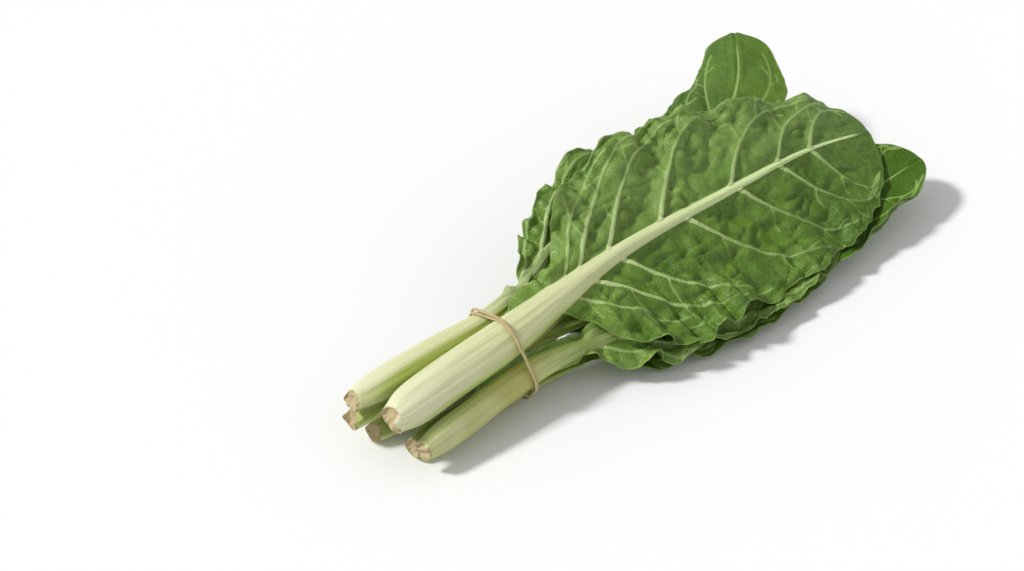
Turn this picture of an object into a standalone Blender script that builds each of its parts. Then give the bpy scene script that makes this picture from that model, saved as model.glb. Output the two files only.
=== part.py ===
"""A bunch of Swiss chard, lying on its side: eight cut leaves held by a doubled rubber band.

Row frame, in metres: +X runs from the cut ends to the leaf tips, +Z is up, and the bunch rests on z = 0.
Each leaf is one grown piece, a petiole that thins into the midrib of a wavy blade, and is lofted as one
closed solid. A last step settles the blades, so that they lie on each other and on the ground.
"""

import math
from dataclasses import dataclass

import bpy
import numpy as np
from mathutils import Matrix, Vector
from mathutils.bvhtree import BVHTree

MM = 0.001

# Blade and rib, all in millimetres.
BLADE_THICKNESS = 1.0
RIB_AT = (0.0, 0.12, 0.23, 0.29, 0.43, 0.54, 0.69, 0.80, 0.88, 1.0)  # share of a leaf's length
RIB_WIDTH = (1.0, 0.96, 0.89, 0.74, 0.40, 0.29, 0.21, 0.14, 0.09, 0.05)  # share of the cut end's width
RIB_DEPTH = 0.50  # of its width, the whole thickness of a petiole
OUTER_SHARE = 0.72  # of that thickness, on the ribbed outer side
CHANNEL_DEPTH = 0.7  # of the inner side's thickness, taken out along the middle of a petiole
CHANNEL_WIDTH = 0.45  # of the petiole's half-width
PETIOLE_FOLD = 18.0  # degrees by which each half of a petiole folds inwards
FOLD_FADE = 0.08  # share of the length over which that fold turns into the blade's curl

# The mesh of each leaf: stations along it, and columns across it.
PETIOLE_STATIONS = 6
BASE_STATIONS = 5
BASE_END = 0.22  # share of the blade
BLADE_STATIONS = 10
TIP_START = 0.74  # share of the blade
TIP_STATIONS = 5
TIP_END = 0.982  # the last station's place between the first of those and the very tip
RIB_COLUMNS = 5
WING_COLUMNS = 5

# Settling.
REST_GAP = 1.5  # between two leaves
FLOOR_GAP = 0.0
SETTLE_ROUNDS = 44
SMOOTH_ROUNDS = 32
SETTLE_SHARE = 0.55  # of the way that a point has to go, taken in each round
SMOOTH_GAIN = 1.1  # makes up for what smoothing takes away
LOOSE_BEFORE = 0.05  # share of the length before the blade where a petiole starts to give
LOOSE_OVER = 0.1
FAR = 500.0  # where the test rays start, above or below everything

# The rubber band: one closed loop that goes round the petioles twice.
BAND_X = 93.0
BAND_CENTRE = (4.0, 29.0)  # y and z of the bundle's middle
BAND_WIDTH = 1.7
BAND_THICKNESS = 1.2
BAND_SPLIT = 1.5  # each turn's distance from the middle line
BAND_CROSSING = math.radians(125)  # where the turns cross, from +Y towards +Z
BAND_STEPS = 104
BAND_SIDES = 8
BAND_CLEARANCE = 0.45
BAND_OVERLAP = 0.5  # between the turns where one lies on the other
BAND_RISE = 2.2  # how quickly the outer turn climbs over the inner one
BAND_LEAN = 0.12  # along X for each millimetre of height, downwards
BAND_REACH = 6.0  # how far to each side of its middle the band's line clears the petioles
BAND_LINES = 7

# Colours, linear.
LEAF_GREEN = (0.09, 0.22, 0.04)
BAND_TAN = (0.62, 0.46, 0.26)


@dataclass
class Leaf:
    """A leaf's driving dimensions, in millimetres and degrees. Left is the +Y side."""

    name: str
    spine: tuple  # points of the midrib, from the cut end to the tip
    roll: tuple  # slope of the leaf across the midrib at those points, left side up
    petiole: float  # width at the cut end
    blade_from: float  # share of the length where the blade starts
    left: float  # widest half-blades
    right: float
    curl: tuple  # turn of the left and right half-blade up to its margin, up positive
    ribs_up: bool  # the ribbed outer side faces up
    ruffle: float  # height of the margin's waves
    waves: tuple  # number of waves on the left and right margins
    phase: float
    base: tuple = (0.2, 0.2)  # share of the blade in which each half widens
    tip: tuple = (2.0, 2.0)  # roundness of each half's tip


LEAVES = (
    Leaf(
        name="bottom_leaf",
        spine=((4, 19, 8), (50, 16, 9.5), (93, 11.5, 10.4), (160, 14, 9), (230, 22, 7), (300, 34, 8),
               (385, 48, 20)),
        roll=(-3, -4, -5, -2, 5, 8, 10),
        petiole=21, blade_from=0.34, left=60, right=50, curl=(46, 4), ribs_up=False,
        ruffle=5.5, waves=(5.5, 4.5), phase=0.4,
    ),
    Leaf(
        name="lower_leaf",
        spine=((38, 2, 21), (60, 5, 21.3), (93, 9.5, 21.3), (150, 5, 19), (220, -6, 11), (300, -18, 9),
               (370, -28, 14), (432, -37, 27)),
        roll=(-2, -4, -5, -4, 3, 7, 6, 4),
        petiole=19, blade_from=0.29, left=55, right=42, curl=(34, 16), ribs_up=False,
        ruffle=5.0, waves=(5.0, 5.5), phase=1.9,
    ),
    Leaf(
        name="right_lower_leaf",
        spine=((12, -8, 9), (50, -9.5, 10.5), (93, -11, 12.2), (140, -19, 11), (190, -30, 8), (240, -40, 8),
               (290, -47, 9), (328, -52, 14)),
        roll=(4, 6, 12, 10, 4, 2, 0, 0),
        petiole=20, blade_from=0.36, left=38, right=30, curl=(6, 10), ribs_up=False,
        ruffle=4.5, waves=(4.0, 4.5), phase=3.3, base=(0.45, 0.2),
    ),
    Leaf(
        name="right_leaf",
        spine=((9, -19.5, 16), (50, -20, 21.5), (93, -19.5, 26.5), (140, -26, 28.5), (190, -32, 25),
               (250, -36, 21), (310, -38, 20), (352, -40, 22)),
        roll=(62, 60, 60, 45, 28, 18, 12, 8),
        petiole=20, blade_from=0.33, left=44, right=37, curl=(-2, 6), ribs_up=True,
        ruffle=5.5, waves=(4.5, 5.5), phase=5.0, base=(0.35, 0.2),
    ),
    Leaf(
        name="inner_leaf",
        spine=((8, 1, 22.5), (38, 0, 30), (93, -2, 33), (150, 3, 37), (210, 10, 42), (280, 16, 44),
               (350, 20, 40)),
        roll=(10, 14, 18, 26, 30, 30, 30),
        petiole=18, blade_from=0.37, left=46, right=42, curl=(-10, -4), ribs_up=True,
        ruffle=4.0, waves=(4.0, 4.0), phase=0.9, base=(0.3, 0.35),
    ),
    Leaf(
        name="back_leaf",
        spine=((-7, 26, 19.5), (50, 22.5, 28), (93, 20, 32), (150, 23, 38), (210, 30, 47), (270, 38, 54),
               (320, 48, 59), (360, 67, 64), (396, 104, 72)),
        roll=(-8, -8, -8, 2, 12, 14, 12, 6, 0),
        petiole=21, blade_from=0.34, left=38, right=40, curl=(-16, -6), ribs_up=False,
        ruffle=4.0, waves=(5.0, 4.5), phase=2.6,
    ),
    Leaf(
        name="left_leaf",
        spine=((-6, 26, 32), (50, 21, 40.3), (93, 18.5, 44), (130, 23, 51), (170, 32, 61), (220, 35, 66),
               (270, 30, 66), (320, 24, 62)),
        roll=(2, 3, 5, 18, 32, 36, 34, 32),
        petiole=22, blade_from=0.36, left=39, right=40, curl=(-25, 4), ribs_up=True,
        ruffle=6.5, waves=(5.0, 4.5), phase=4.2, tip=(0.9, 2.0),
    ),
    Leaf(
        name="top_leaf",
        spine=((0, -3, 34), (50, -4, 42.5), (93, -4, 46.8), (120, -3, 50.5), (180, 0, 57), (290, 0, 55),
               (366, 0, 49), (417, -3, 38)),
        roll=(34, 36, 37, 36, 35, 35, 35, 34),
        petiole=27.5, blade_from=0.285, left=66, right=74, curl=(-6, 12), ribs_up=True,
        ruffle=4.5, waves=(6.0, 5.0), phase=0.0, base=(0.19, 0.15), tip=(1.0, 2.9),
    ),
)


def natural_spline(knots, values, at):
    """A smooth curve through values at knots, read at the places in at."""
    knots, values, at = (np.asarray(x, float) for x in (knots, values, at))
    values = values.reshape(len(knots), -1)
    gap = np.diff(knots)
    slope = np.diff(values, axis=0) / gap[:, None]
    system = np.eye(len(knots))
    load = np.zeros_like(values)
    for i in range(1, len(knots) - 1):
        system[i, i - 1 : i + 2] = gap[i - 1], 2 * (gap[i - 1] + gap[i]), gap[i]
        load[i] = 6 * (slope[i] - slope[i - 1])
    bend = np.linalg.solve(system, load)
    i = np.clip(np.searchsorted(knots, at, side="right") - 1, 0, len(gap) - 1)
    t, h = (at - knots[i])[:, None], gap[i][:, None]
    rise = slope[i] - h * (2 * bend[i] + bend[i + 1]) / 6
    return values[i] + t * (rise + t * (bend[i] / 2 + t * (bend[i + 1] - bend[i]) / (6 * h)))


def smoothstep(x):
    x = np.clip(x, 0, 1)
    return x * x * (3 - 2 * x)


def spine_of(leaf, share):
    """Points, unit tangents and roll of the midrib at shares of its length, and that length."""
    points = np.array(leaf.spine, float)
    knots = np.concatenate([[0], np.cumsum(np.linalg.norm(np.diff(points, axis=0), axis=1))])
    fine = np.linspace(0, knots[-1], 400)
    line = natural_spline(knots, points, fine)
    run = np.concatenate([[0], np.cumsum(np.linalg.norm(np.diff(line, axis=0), axis=1))])
    at = np.interp(np.asarray(share) * run[-1], run, fine)
    step = 0.5
    place = natural_spline(knots, points, at)
    ahead = natural_spline(knots, points, np.clip(at + step, 0, knots[-1]))
    behind = natural_spline(knots, points, np.clip(at - step, 0, knots[-1]))
    tangent = ahead - behind
    tangent /= np.linalg.norm(tangent, axis=1)[:, None]
    roll = np.radians(natural_spline(knots, leaf.roll, at)[:, 0])
    return place, tangent, roll, run[-1]


def rib_half_width(leaf, share):
    return leaf.petiole / 2 * natural_spline(RIB_AT, RIB_WIDTH, share)[:, 0]


def half_widths(leaf, share):
    """The left and right half-widths of the whole leaf, petiole included."""
    rib = rib_half_width(leaf, share)
    q = np.clip((share - leaf.blade_from) / (1 - leaf.blade_from), 0, 1)
    found = []
    for widest, base, tip in zip((leaf.left, leaf.right), leaf.base, leaf.tip):
        rise = smoothstep(q / (2 * base)) * 0.5 + smoothstep(q / base) * 0.5
        past = np.clip((q - 0.5) / 0.5, 0, 1)
        fall = np.sqrt(1 - past**tip)
        found.append(np.maximum(rib * np.clip((1 - q) * 8, 0, 1), widest * rise * fall))
    return found


def stations(leaf):
    """Shares of the length at which the leaf's sections lie, closer together at the blade's base and tip."""
    start = leaf.blade_from
    base_end = start + BASE_END * (1 - start)
    tip_start = start + TIP_START * (1 - start)
    petiole = np.linspace(0, start, PETIOLE_STATIONS, endpoint=False)
    base = np.linspace(start, base_end, BASE_STATIONS, endpoint=False)
    blade = np.linspace(base_end, tip_start, BLADE_STATIONS, endpoint=False)
    turn = np.linspace(0, math.pi / 2, TIP_STATIONS, endpoint=False)
    tip = tip_start + (1 - tip_start) * np.append(np.sin(turn), TIP_END)
    return np.concatenate([petiole, base, blade, tip])


def columns(rib, left, right):
    """Distances across the leaf for each station, positive to the left: over the rib, then on the wings."""
    core = np.linspace(-1, 1, RIB_COLUMNS)
    wing = np.linspace(0, 1, WING_COLUMNS + 1)[1:]
    rows = []
    for r, a, b in zip(rib, left, right):
        ra, rb = min(r, 0.5 * a), min(r, 0.5 * b)
        middle = np.where(core < 0, core * rb, core * ra)
        rows.append(np.concatenate([-(rb + (b - rb) * wing[::-1]), middle, ra + (a - ra) * wing]))
    return np.array(rows)


def across(roll, turn, reach, distance):
    """Sideways and upward travel after going distance along a half-section that turns by turn over reach."""
    rate = turn / reach
    rate = np.where(np.abs(rate) < 1e-6, 1e-6, rate)
    end = roll + rate * distance
    return (np.sin(end) - np.sin(roll)) / rate, (np.cos(roll) - np.cos(end)) / rate


def ruffle(leaf, share, side, edge):
    """Height of the waves along a margin; side is 0 on the left and 1 on the right, edge runs from 0 to 1."""
    q = np.clip((share - leaf.blade_from) / (1 - leaf.blade_from), 0, 1)
    n = leaf.waves[side]
    turn = 2 * math.pi * n * q + leaf.phase + 1.7 * side
    wave = np.sin(turn + 0.8 * np.sin(2.3 * q * math.pi + leaf.phase)) + 0.35 * np.sin(1.73 * turn + 1.0)
    strength = smoothstep(q / 0.12) * (1 - 0.55 * smoothstep((q - 0.45) / 0.5))
    return leaf.ruffle * wave * strength * edge**2


def sheet_of(leaf, share, b, left, right):
    """The leaf's middle surface: a grid of points for stations share and distances b across."""
    place, tangent, roll, _ = spine_of(leaf, share)
    level = np.stack([-tangent[:, 1], tangent[:, 0], np.zeros(len(share))], 1)
    level /= np.linalg.norm(level, axis=1)[:, None]
    up = np.cross(tangent, level)
    blade = smoothstep((share - leaf.blade_from) / FOLD_FADE)
    fold = -PETIOLE_FOLD if leaf.ribs_up else PETIOLE_FOLD
    grid = np.empty(b.shape + (3,))
    for side, (sign, reach, curl) in enumerate(((1, left, leaf.curl[0]), (-1, right, leaf.curl[1]))):
        turn = np.radians(fold + (curl - fold) * blade)[:, None]
        out = np.abs(b)
        sideways, rise = across(sign * roll[:, None], turn, reach[:, None], out)
        edge = np.clip(out / reach[:, None], 0, 1)
        rise = rise + ruffle(leaf, share[:, None], side, edge)
        half = place[:, None] + sign * sideways[..., None] * level[:, None] + rise[..., None] * up[:, None]
        mine = (sign * b >= 0)[..., None]
        grid = np.where(mine, half, grid)
    return grid


def normals_of(grid):
    along = np.gradient(grid, axis=0)
    sideways = np.gradient(grid, axis=1)
    normal = np.cross(along, sideways)
    return normal / np.linalg.norm(normal, axis=2)[..., None]


def thickness_of(leaf, rib, b):
    """How far the leaf's upper and lower faces stand from its middle surface."""
    x = np.clip(np.abs(b) / rib[:, None], 0, 1)
    dome = np.sqrt(1 - x**2)
    depth = 2 * rib[:, None] * RIB_DEPTH
    outer = BLADE_THICKNESS / 2 + depth * OUTER_SHARE * dome
    channel = 1 - CHANNEL_DEPTH * np.exp(-((x / CHANNEL_WIDTH) ** 2))
    inner = BLADE_THICKNESS / 2 + depth * (1 - OUTER_SHARE) * dome * channel
    return (outer, inner) if leaf.ribs_up else (inner, outer)


class Body:
    """One leaf as grids of points, with what settling moves."""

    def __init__(self, leaf):
        self.leaf = leaf
        self.share = stations(leaf)
        self.rib = rib_half_width(leaf, self.share)
        left, right = half_widths(leaf, self.share)
        self.b = columns(self.rib, left, right)
        self.sheet = sheet_of(leaf, self.share, self.b, left, right)
        self.normal = normals_of(self.sheet)
        self.upper, self.lower = thickness_of(leaf, self.rib, self.b)
        loose = smoothstep((self.share - leaf.blade_from + LOOSE_BEFORE) / LOOSE_OVER)
        self.loose = loose[:, None] * np.ones_like(self.b)

    def faces_points(self):
        top = self.sheet + self.normal * self.upper[..., None]
        bottom = self.sheet - self.normal * self.lower[..., None]
        return top, bottom


def shell(points):
    """A search tree of one face of a leaf."""
    rows, cols = points.shape[:2]
    index = np.arange(rows * cols).reshape(rows, cols)
    quads = np.stack([index[:-1, :-1], index[1:, :-1], index[1:, 1:], index[:-1, 1:]], -1).reshape(-1, 4)
    return BVHTree.FromPolygons([Vector(p) for p in points.reshape(-1, 3)], quads.tolist())


def height_at(tree, point, downwards):
    """Height of a face above or below a point, or None where the face isn't."""
    way = -1 if downwards else 1
    hit = tree.ray_cast(Vector((point[0], point[1], -way * FAR)), Vector((0, 0, way)))[0]
    return None if hit is None else hit.z


def halved(grid):
    """The grid with a point added halfway between each two neighbours."""
    rows = np.empty((2 * grid.shape[0] - 1,) + grid.shape[1:])
    rows[::2] = grid
    rows[1::2] = (grid[1:] + grid[:-1]) / 2
    both = np.empty((rows.shape[0], 2 * grid.shape[1] - 1) + grid.shape[2:])
    both[:, ::2] = rows
    both[:, 1::2] = (rows[:, 1:] + rows[:, :-1]) / 2
    return both


def gathered(fine):
    """The largest of the values at and next to each of a halved grid's first points."""
    wide = np.pad(fine, 1)
    near = [wide[i : i + fine.shape[0] : 2, j : j + fine.shape[1] : 2] for i in range(3) for j in range(3)]
    near = np.stack(near)
    return np.take_along_axis(near, np.abs(near).argmax(0)[None], 0)[0]


def push_apart(bodies):
    """How far up or down each point has to go to keep its gap to the leaves over and under it."""
    faces = [body.faces_points() for body in bodies]
    tops = [shell(top) for top, _ in faces]
    bottoms = [shell(bottom) for _, bottom in faces]
    moves = []
    for i, body in enumerate(bodies):
        top, bottom = (halved(face) for face in faces[i])
        move = np.zeros(top.shape[:2])
        loose = halved(body.loose)
        for at in zip(*np.nonzero(loose > 0)):
            up = FLOOR_GAP - bottom[at][2]
            down = 0.0
            for under in tops[:i]:
                height = height_at(under, bottom[at], True)
                if height is not None:
                    up = max(up, height + REST_GAP - bottom[at][2])
            for over in bottoms[i + 1 :]:
                height = height_at(over, top[at], False)
                if height is not None:
                    down = max(down, top[at][2] + REST_GAP - height)
            move[at] = max(up, 0) - max(down, 0)
        moves.append(gathered(move))
    return moves


def smooth(field):
    """Each value moved towards the mean of its neighbours."""
    wide = np.pad(field, 1, mode="edge")
    near = (wide[:-2, 1:-1] + wide[2:, 1:-1] + wide[1:-1, :-2] + wide[1:-1, 2:]) / 4
    return 0.5 * field + 0.5 * near


def settle(bodies):
    """Moves the blades up and down until they clear each other and the ground.

    The smoothed rounds bend the leaves under the top one, and the last rounds clear what is left.
    """
    for round_number in range(SETTLE_ROUNDS):
        moves = push_apart(bodies)
        smoothing = round_number < SMOOTH_ROUNDS
        for body, move in zip(bodies, moves):
            if smoothing and body is bodies[-1]:
                continue
            if smoothing:
                move = smooth(smooth(move)) * SMOOTH_GAIN
            body.sheet[..., 2] += SETTLE_SHARE * move * body.loose


def material(name, colour, roughness):
    made = bpy.data.materials.new(name)
    made.use_nodes = True
    shader = made.node_tree.nodes["Principled BSDF"]
    shader.inputs["Base Color"].default_value = (*colour, 1)
    shader.inputs["Roughness"].default_value = roughness
    made.diffuse_color = (*colour, 1)
    return made


def add_object(name, points, faces, finish):
    mesh = bpy.data.meshes.new(name)
    mesh.from_pydata([tuple(p) for p in np.asarray(points) * MM], [], faces)
    mesh.materials.append(finish)
    mesh.shade_smooth()
    made = bpy.data.objects.new(name, mesh)
    bpy.context.scene.collection.objects.link(made)
    return made


def leaf_object(body):
    """The closed solid of a leaf: its two faces, joined at the margins, the cut end and the tip."""
    top, bottom = body.faces_points()
    rows, cols = body.b.shape
    loop = np.concatenate([top, bottom[:, ::-1]], axis=1)
    n = 2 * cols
    faces = []
    for i in range(rows - 1):
        for j in range(n):
            k = (j + 1) % n
            a, b, c, d = i * n + j, i * n + k, (i + 1) * n + k, (i + 1) * n + j
            faces += [(a, d, c), (a, c, b)] if j < cols else [(a, d, b), (d, c, b)]
    for row, flip in ((0, False), (rows - 1, True)):
        for j in range(cols - 1):
            ring = [row * n + j, row * n + j + 1, row * n + n - 2 - j, row * n + n - 1 - j]
            faces.append(tuple(ring[::-1] if flip else ring))
    finish = material(body.leaf.name, LEAF_GREEN, 0.45)
    return add_object(body.leaf.name, loop.reshape(-1, 3), faces, finish)


def hull(points):
    """The convex outline of points in a plane, anticlockwise."""
    points = sorted(set(map(tuple, np.round(points, 4))))

    def half(sequence):
        chain = []
        for p in sequence:
            while len(chain) > 1:
                (ax, ay), (bx, by) = chain[-2:]
                if (bx - ax) * (p[1] - ay) - (by - ay) * (p[0] - ax) > 0:
                    break
                chain.pop()
            chain.append(p)
        return chain[:-1]

    return np.array(half(points) + half(points[::-1]))


def band_outline(bodies, stand_off):
    """The taut line round all the petioles where the band goes, as y and z, evenly spaced and closed."""
    near = []
    for body in bodies:
        for face in body.faces_points():
            lines = np.linspace(BAND_X - BAND_REACH, BAND_X + BAND_REACH, BAND_LINES)
            for column in range(face.shape[1]):
                line = face[:, column]
                near += [[np.interp(x, line[:, 0], line[:, k]) for k in (1, 2)] for x in lines]
    corners = hull(np.array(near))
    angles = np.linspace(0, 2 * math.pi, 720, endpoint=False)
    way = np.stack([np.cos(angles), np.sin(angles)], 1)
    line = corners[(way @ corners.T).argmax(1)] + way * stand_off
    run = np.concatenate([[0], np.cumsum(np.linalg.norm(np.diff(line, axis=0, append=line[:1]), axis=1))])
    closed = np.concatenate([line, line[:1]])
    even = np.linspace(0, run[-1], BAND_STEPS // 2, endpoint=False)
    outline = np.stack([np.interp(even, run, closed[:, k]) for k in (0, 1)], 1)
    bearing = np.unwrap(np.arctan2(outline[:, 1] - BAND_CENTRE[1], outline[:, 0] - BAND_CENTRE[0]))
    start = int(np.abs(np.mod(bearing - BAND_CROSSING, 2 * math.pi) - math.pi).argmin())
    return np.roll(outline, -start, axis=0)


def band_object(bodies):
    """The rubber band, along a line that goes round twice and crosses itself once, opposite its start."""
    outline = band_outline(bodies, BAND_CLEARANCE + BAND_THICKNESS / 2)
    outward = np.roll(outline, -1, axis=0) - np.roll(outline, 1, axis=0)
    outward = np.stack([outward[:, 1], -outward[:, 0]], 1)
    outward /= np.linalg.norm(outward, axis=1)[:, None]
    turn = np.linspace(0, 4 * math.pi, BAND_STEPS, endpoint=False)
    twice, out = np.tile(outline, (2, 1)), np.tile(outward, (2, 1))
    lift = (BAND_THICKNESS + BAND_OVERLAP) * smoothstep((1 + BAND_RISE * np.sin(turn / 2)) / 2)
    line = twice + out * lift[:, None]
    x = BAND_X + BAND_SPLIT * np.cos(turn / 2) - BAND_LEAN * (line[:, 1] - BAND_CENTRE[1])
    points = []
    for i in range(BAND_STEPS):
        for j in range(BAND_SIDES):
            angle = 2 * math.pi * j / BAND_SIDES
            wide = BAND_WIDTH / 2 * math.cos(angle)
            thick = BAND_THICKNESS / 2 * math.sin(angle)
            points.append((x[i] + wide, line[i, 0] + out[i, 0] * thick, line[i, 1] + out[i, 1] * thick))
    faces = []
    for i in range(BAND_STEPS):
        for j in range(BAND_SIDES):
            a, b = i * BAND_SIDES + j, i * BAND_SIDES + (j + 1) % BAND_SIDES
            step = ((i + 1) % BAND_STEPS - i) * BAND_SIDES
            faces.append((a, b, b + step, a + step))
    return add_object("rubber_band", points, faces, material("rubber_band", BAND_TAN, 0.5))


def put_on_the_ground(pieces):
    """Moves the meshes, so that the origin is under the middle of the bunch's box, on the ground."""
    corners = np.array([v.co for piece in pieces for v in piece.data.vertices])
    low, high = corners.min(0), corners.max(0)
    shift = -np.array([(low[0] + high[0]) / 2, (low[1] + high[1]) / 2, low[2]])
    for piece in pieces:
        piece.data.transform(Matrix.Translation(shift))


def main():
    for old in list(bpy.data.objects):
        bpy.data.objects.remove(old)
    bodies = [Body(leaf) for leaf in LEAVES]
    settle(bodies)
    pieces = [leaf_object(body) for body in bodies] + [band_object(bodies)]
    put_on_the_ground(pieces)


main()
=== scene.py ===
"""The looks of a bunch of Swiss chard: fine leaves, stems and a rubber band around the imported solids.

Lengths are in millimetres until a mesh is made. A leaf is a sheet over its share, from 0 at the cut end to 1
at the tip, and its lane, from -7 at the right margin over 0 on the midrib to 7 at the left margin.
"""

import math
from dataclasses import dataclass

import bpy
import numpy as np
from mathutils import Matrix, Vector
from mathutils.bvhtree import BVHTree
from mathutils.kdtree import KDTree


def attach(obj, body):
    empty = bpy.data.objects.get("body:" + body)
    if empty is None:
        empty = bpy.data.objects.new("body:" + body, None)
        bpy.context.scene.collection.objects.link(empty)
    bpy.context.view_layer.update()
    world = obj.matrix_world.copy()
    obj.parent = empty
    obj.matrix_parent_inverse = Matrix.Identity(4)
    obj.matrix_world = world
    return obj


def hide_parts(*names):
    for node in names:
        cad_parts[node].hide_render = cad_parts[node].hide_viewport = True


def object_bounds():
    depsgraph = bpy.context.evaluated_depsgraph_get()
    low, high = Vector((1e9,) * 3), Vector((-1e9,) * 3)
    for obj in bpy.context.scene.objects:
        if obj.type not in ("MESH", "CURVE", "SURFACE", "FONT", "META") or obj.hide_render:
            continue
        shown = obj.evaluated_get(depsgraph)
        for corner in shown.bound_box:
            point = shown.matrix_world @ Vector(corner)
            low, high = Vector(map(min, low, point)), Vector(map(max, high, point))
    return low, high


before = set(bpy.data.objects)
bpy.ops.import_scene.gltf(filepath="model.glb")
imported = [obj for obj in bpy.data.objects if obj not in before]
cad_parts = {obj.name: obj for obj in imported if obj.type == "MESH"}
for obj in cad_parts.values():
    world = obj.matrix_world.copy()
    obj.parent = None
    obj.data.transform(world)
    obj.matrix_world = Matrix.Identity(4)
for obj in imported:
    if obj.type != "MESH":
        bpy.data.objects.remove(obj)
cad_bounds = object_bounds()

MM = 0.001
LANE_RIB = 2  # lanes on each side over the rib
LANE_EDGE = 7  # the lane of a margin
SPINE_STEPS = 400  # in measuring a spine's length

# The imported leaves, as part.py builds them.
RIB_AT = (0.0, 0.12, 0.23, 0.29, 0.43, 0.54, 0.69, 0.80, 0.88, 1.0)  # share of a leaf's length
RIB_WIDTH = (1.0, 0.96, 0.89, 0.74, 0.40, 0.29, 0.21, 0.14, 0.09, 0.05)  # share of the cut end's width
RIB_DEPTH = 0.50  # of its width, the whole thickness of a petiole
OUTER_SHARE = 0.72  # of that thickness, on the ribbed outer side
CHANNEL_DEPTH = 0.7  # of the inner side's thickness, taken out along the middle of a petiole
CHANNEL_WIDTH = 0.45  # of the petiole's half-width
PETIOLE_FOLD = 18.0  # degrees by which each half of a petiole folds inwards
FOLD_FADE = 0.08  # share of the length over which that fold turns into the blade's curl
SOLID_THICKNESS = 1.0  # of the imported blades
SOLID_LANES = np.arange(-LANE_EDGE, LANE_EDGE + 1.0)
PETIOLE_STATIONS, BASE_STATIONS, BLADE_STATIONS, TIP_STATIONS = 6, 5, 10, 5
BASE_END, TIP_START = 0.22, 0.74  # shares of the blade
TIP_END = 0.982  # the last station's place between the first of those at the tip and the very tip
SAME_CORNER = 0.03  # corners of a solid this close in plan are the same

# The blade.
BLADE_THICKNESS = 0.55
VEIN_RUN = (100.0, 86.0)  # how far along the leaf a side vein travels, on the left and the right
VEIN_STEPS = 36
BRANCH_STEPS = 12
# A side vein's branches: where, on the basal side or not, degrees and length.
BRANCHES = ((0.28, True, 52, 13), (0.55, True, 46, 18), (0.74, False, 38, 12))
VEIN_REACH = 14.0  # no vein is felt farther off
VEIN_BLUR = 0.6  # rounds the field of distances off over the veins
OFF_VEINS = 4.0  # the distance given to places far from every vein
TENT = 1.5  # how far a side vein lifts the blade
TENT_WIDTH = 3.2
PAD_SIZE = (21.0, 12.0)  # of the puckers, along the leaf and across it
PAD_HEIGHT = 3.2
WRINKLE_GAP = 6.5  # between the small wrinkles along the midrib
WRINKLE_HEIGHT = 2.0
GUTTER = 0.9  # depth of the blade's fold beside the midrib
BASE_WAVE = 15.0  # length of the tight waves near the stem
WING_RISE = 22.0  # how far along the stem a narrow blade beside it grows to its width
PLEAT_HEIGHT = 1.4

# The stem.
STEM_RIBS = 2.5  # soft ribs on half a stem
STEM_RIB_DEPTH = 0.35
STEM_SWELL = 0.35
CUT_WAIST = 0.42  # how much narrower a stem is at the cut
WAIST_LENGTH = 11.0
CUT_SLANT = 0.5  # how far the cut leans back, as a share of its height
CUT_ROUGHNESS = 0.9
CUT_HOLLOW = 0.8
CUT_RINGS = 9
LIP_AT = 3.5
LIP_HALF_WIDTH = 2.4
LIP_RISE = 0.35  # of its length

# Keeping the leaves apart.
COARSE = 3  # every third row and lane is tested
CLEAR_GAP = 0.8
APART_ROUNDS = 12
FINE_ROUNDS = 5  # of every row and lane
FINE_GAP = 0.6
GIVE = 0.6  # of the way that a place has to go, taken in each round
TOP_LEAF_GIVE = 0.3
FAR = 500.0  # where the test rays start, above or below everything
FLOOR_GAP = 0.05
floor_height = cad_bounds[0][2] / MM

# The rubber band.
BAND_X = 93.0
BAND_CENTRE = (4.0, 29.0)  # y and z of the stems' middle
BAND_WIDTH = 1.7
BAND_THICKNESS = 1.2
BAND_SPLIT = 1.5  # each turn's distance from the middle line
BAND_LEAN = 0.12  # how far the band leans back as it rises, as a share of the height
BAND_CROSSING = math.radians(125)  # where the turns cross, from +Y towards +Z
BAND_HALF_RUN = 7.0  # of the stems' length under the band
BAND_CLEARANCE = 0.35
BAND_LIFT = 0.3  # between the turns where they cross
BAND_BEARINGS = 1440
BAND_STEPS = 480
BAND_SIDES = 14
BAND_STRIPS = 8  # its map is cut into strips that lie side by side
BAND_LENGTH = 360.0  # of its streaks' space, along it and round it
BAND_GIRTH = 5.0

# Colours, linear.
OUTER_GREEN = ((0.150, 0.262, 0.040), (0.240, 0.385, 0.078))
INNER_GREEN = ((0.040, 0.105, 0.010), (0.075, 0.165, 0.020))
FRESH_GREEN = ((0.074, 0.168, 0.004), (0.118, 0.238, 0.008))
DEEP_GREEN = (0.040, 0.120, 0.001)
YOUNG_GREEN = (0.180, 0.310, 0.035)
RIB_GREEN = (0.130, 0.250, 0.030)
# A dark green, for the blade's darker patches and for the shade painted into its creases and towards its tip.
SHADE_AND_DARK_GREEN = (0.040, 0.100, 0.012)
SMALL_VEIN = (0.230, 0.360, 0.075)
MARGIN = (0.300, 0.430, 0.110)
VEIN = ((0.580, 0.700, 0.310), (0.290, 0.450, 0.120))
STEM = ((0.690, 0.710, 0.400), (0.700, 0.880, 0.410))
STEM_WHITE = (0.800, 0.780, 0.560)
STEM_SHADE = (0.480, 0.540, 0.210)
STEM_GREEN = (0.340, 0.420, 0.055)
STEM_FLANK_GREEN_AND_SHADE = (0.330, 0.430, 0.028)
STEM_OCHRE = (0.460, 0.385, 0.085)
STEM_INSIDE = (0.270, 0.360, 0.060)
CUT_CREAM = (0.600, 0.520, 0.310)
CUT_TAN = (0.360, 0.260, 0.120)
CUT_BROWN = (0.160, 0.095, 0.035)
OUTER_DULLNESS, INNER_DULLNESS, STEM_DULLNESS, CUT_DULLNESS = 0.38, 0.34, 0.34, 0.8  # roughness
BAND_COLOUR = ((0.600, 0.500, 0.260), (0.480, 0.370, 0.170), (0.380, 0.270, 0.110))

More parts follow.
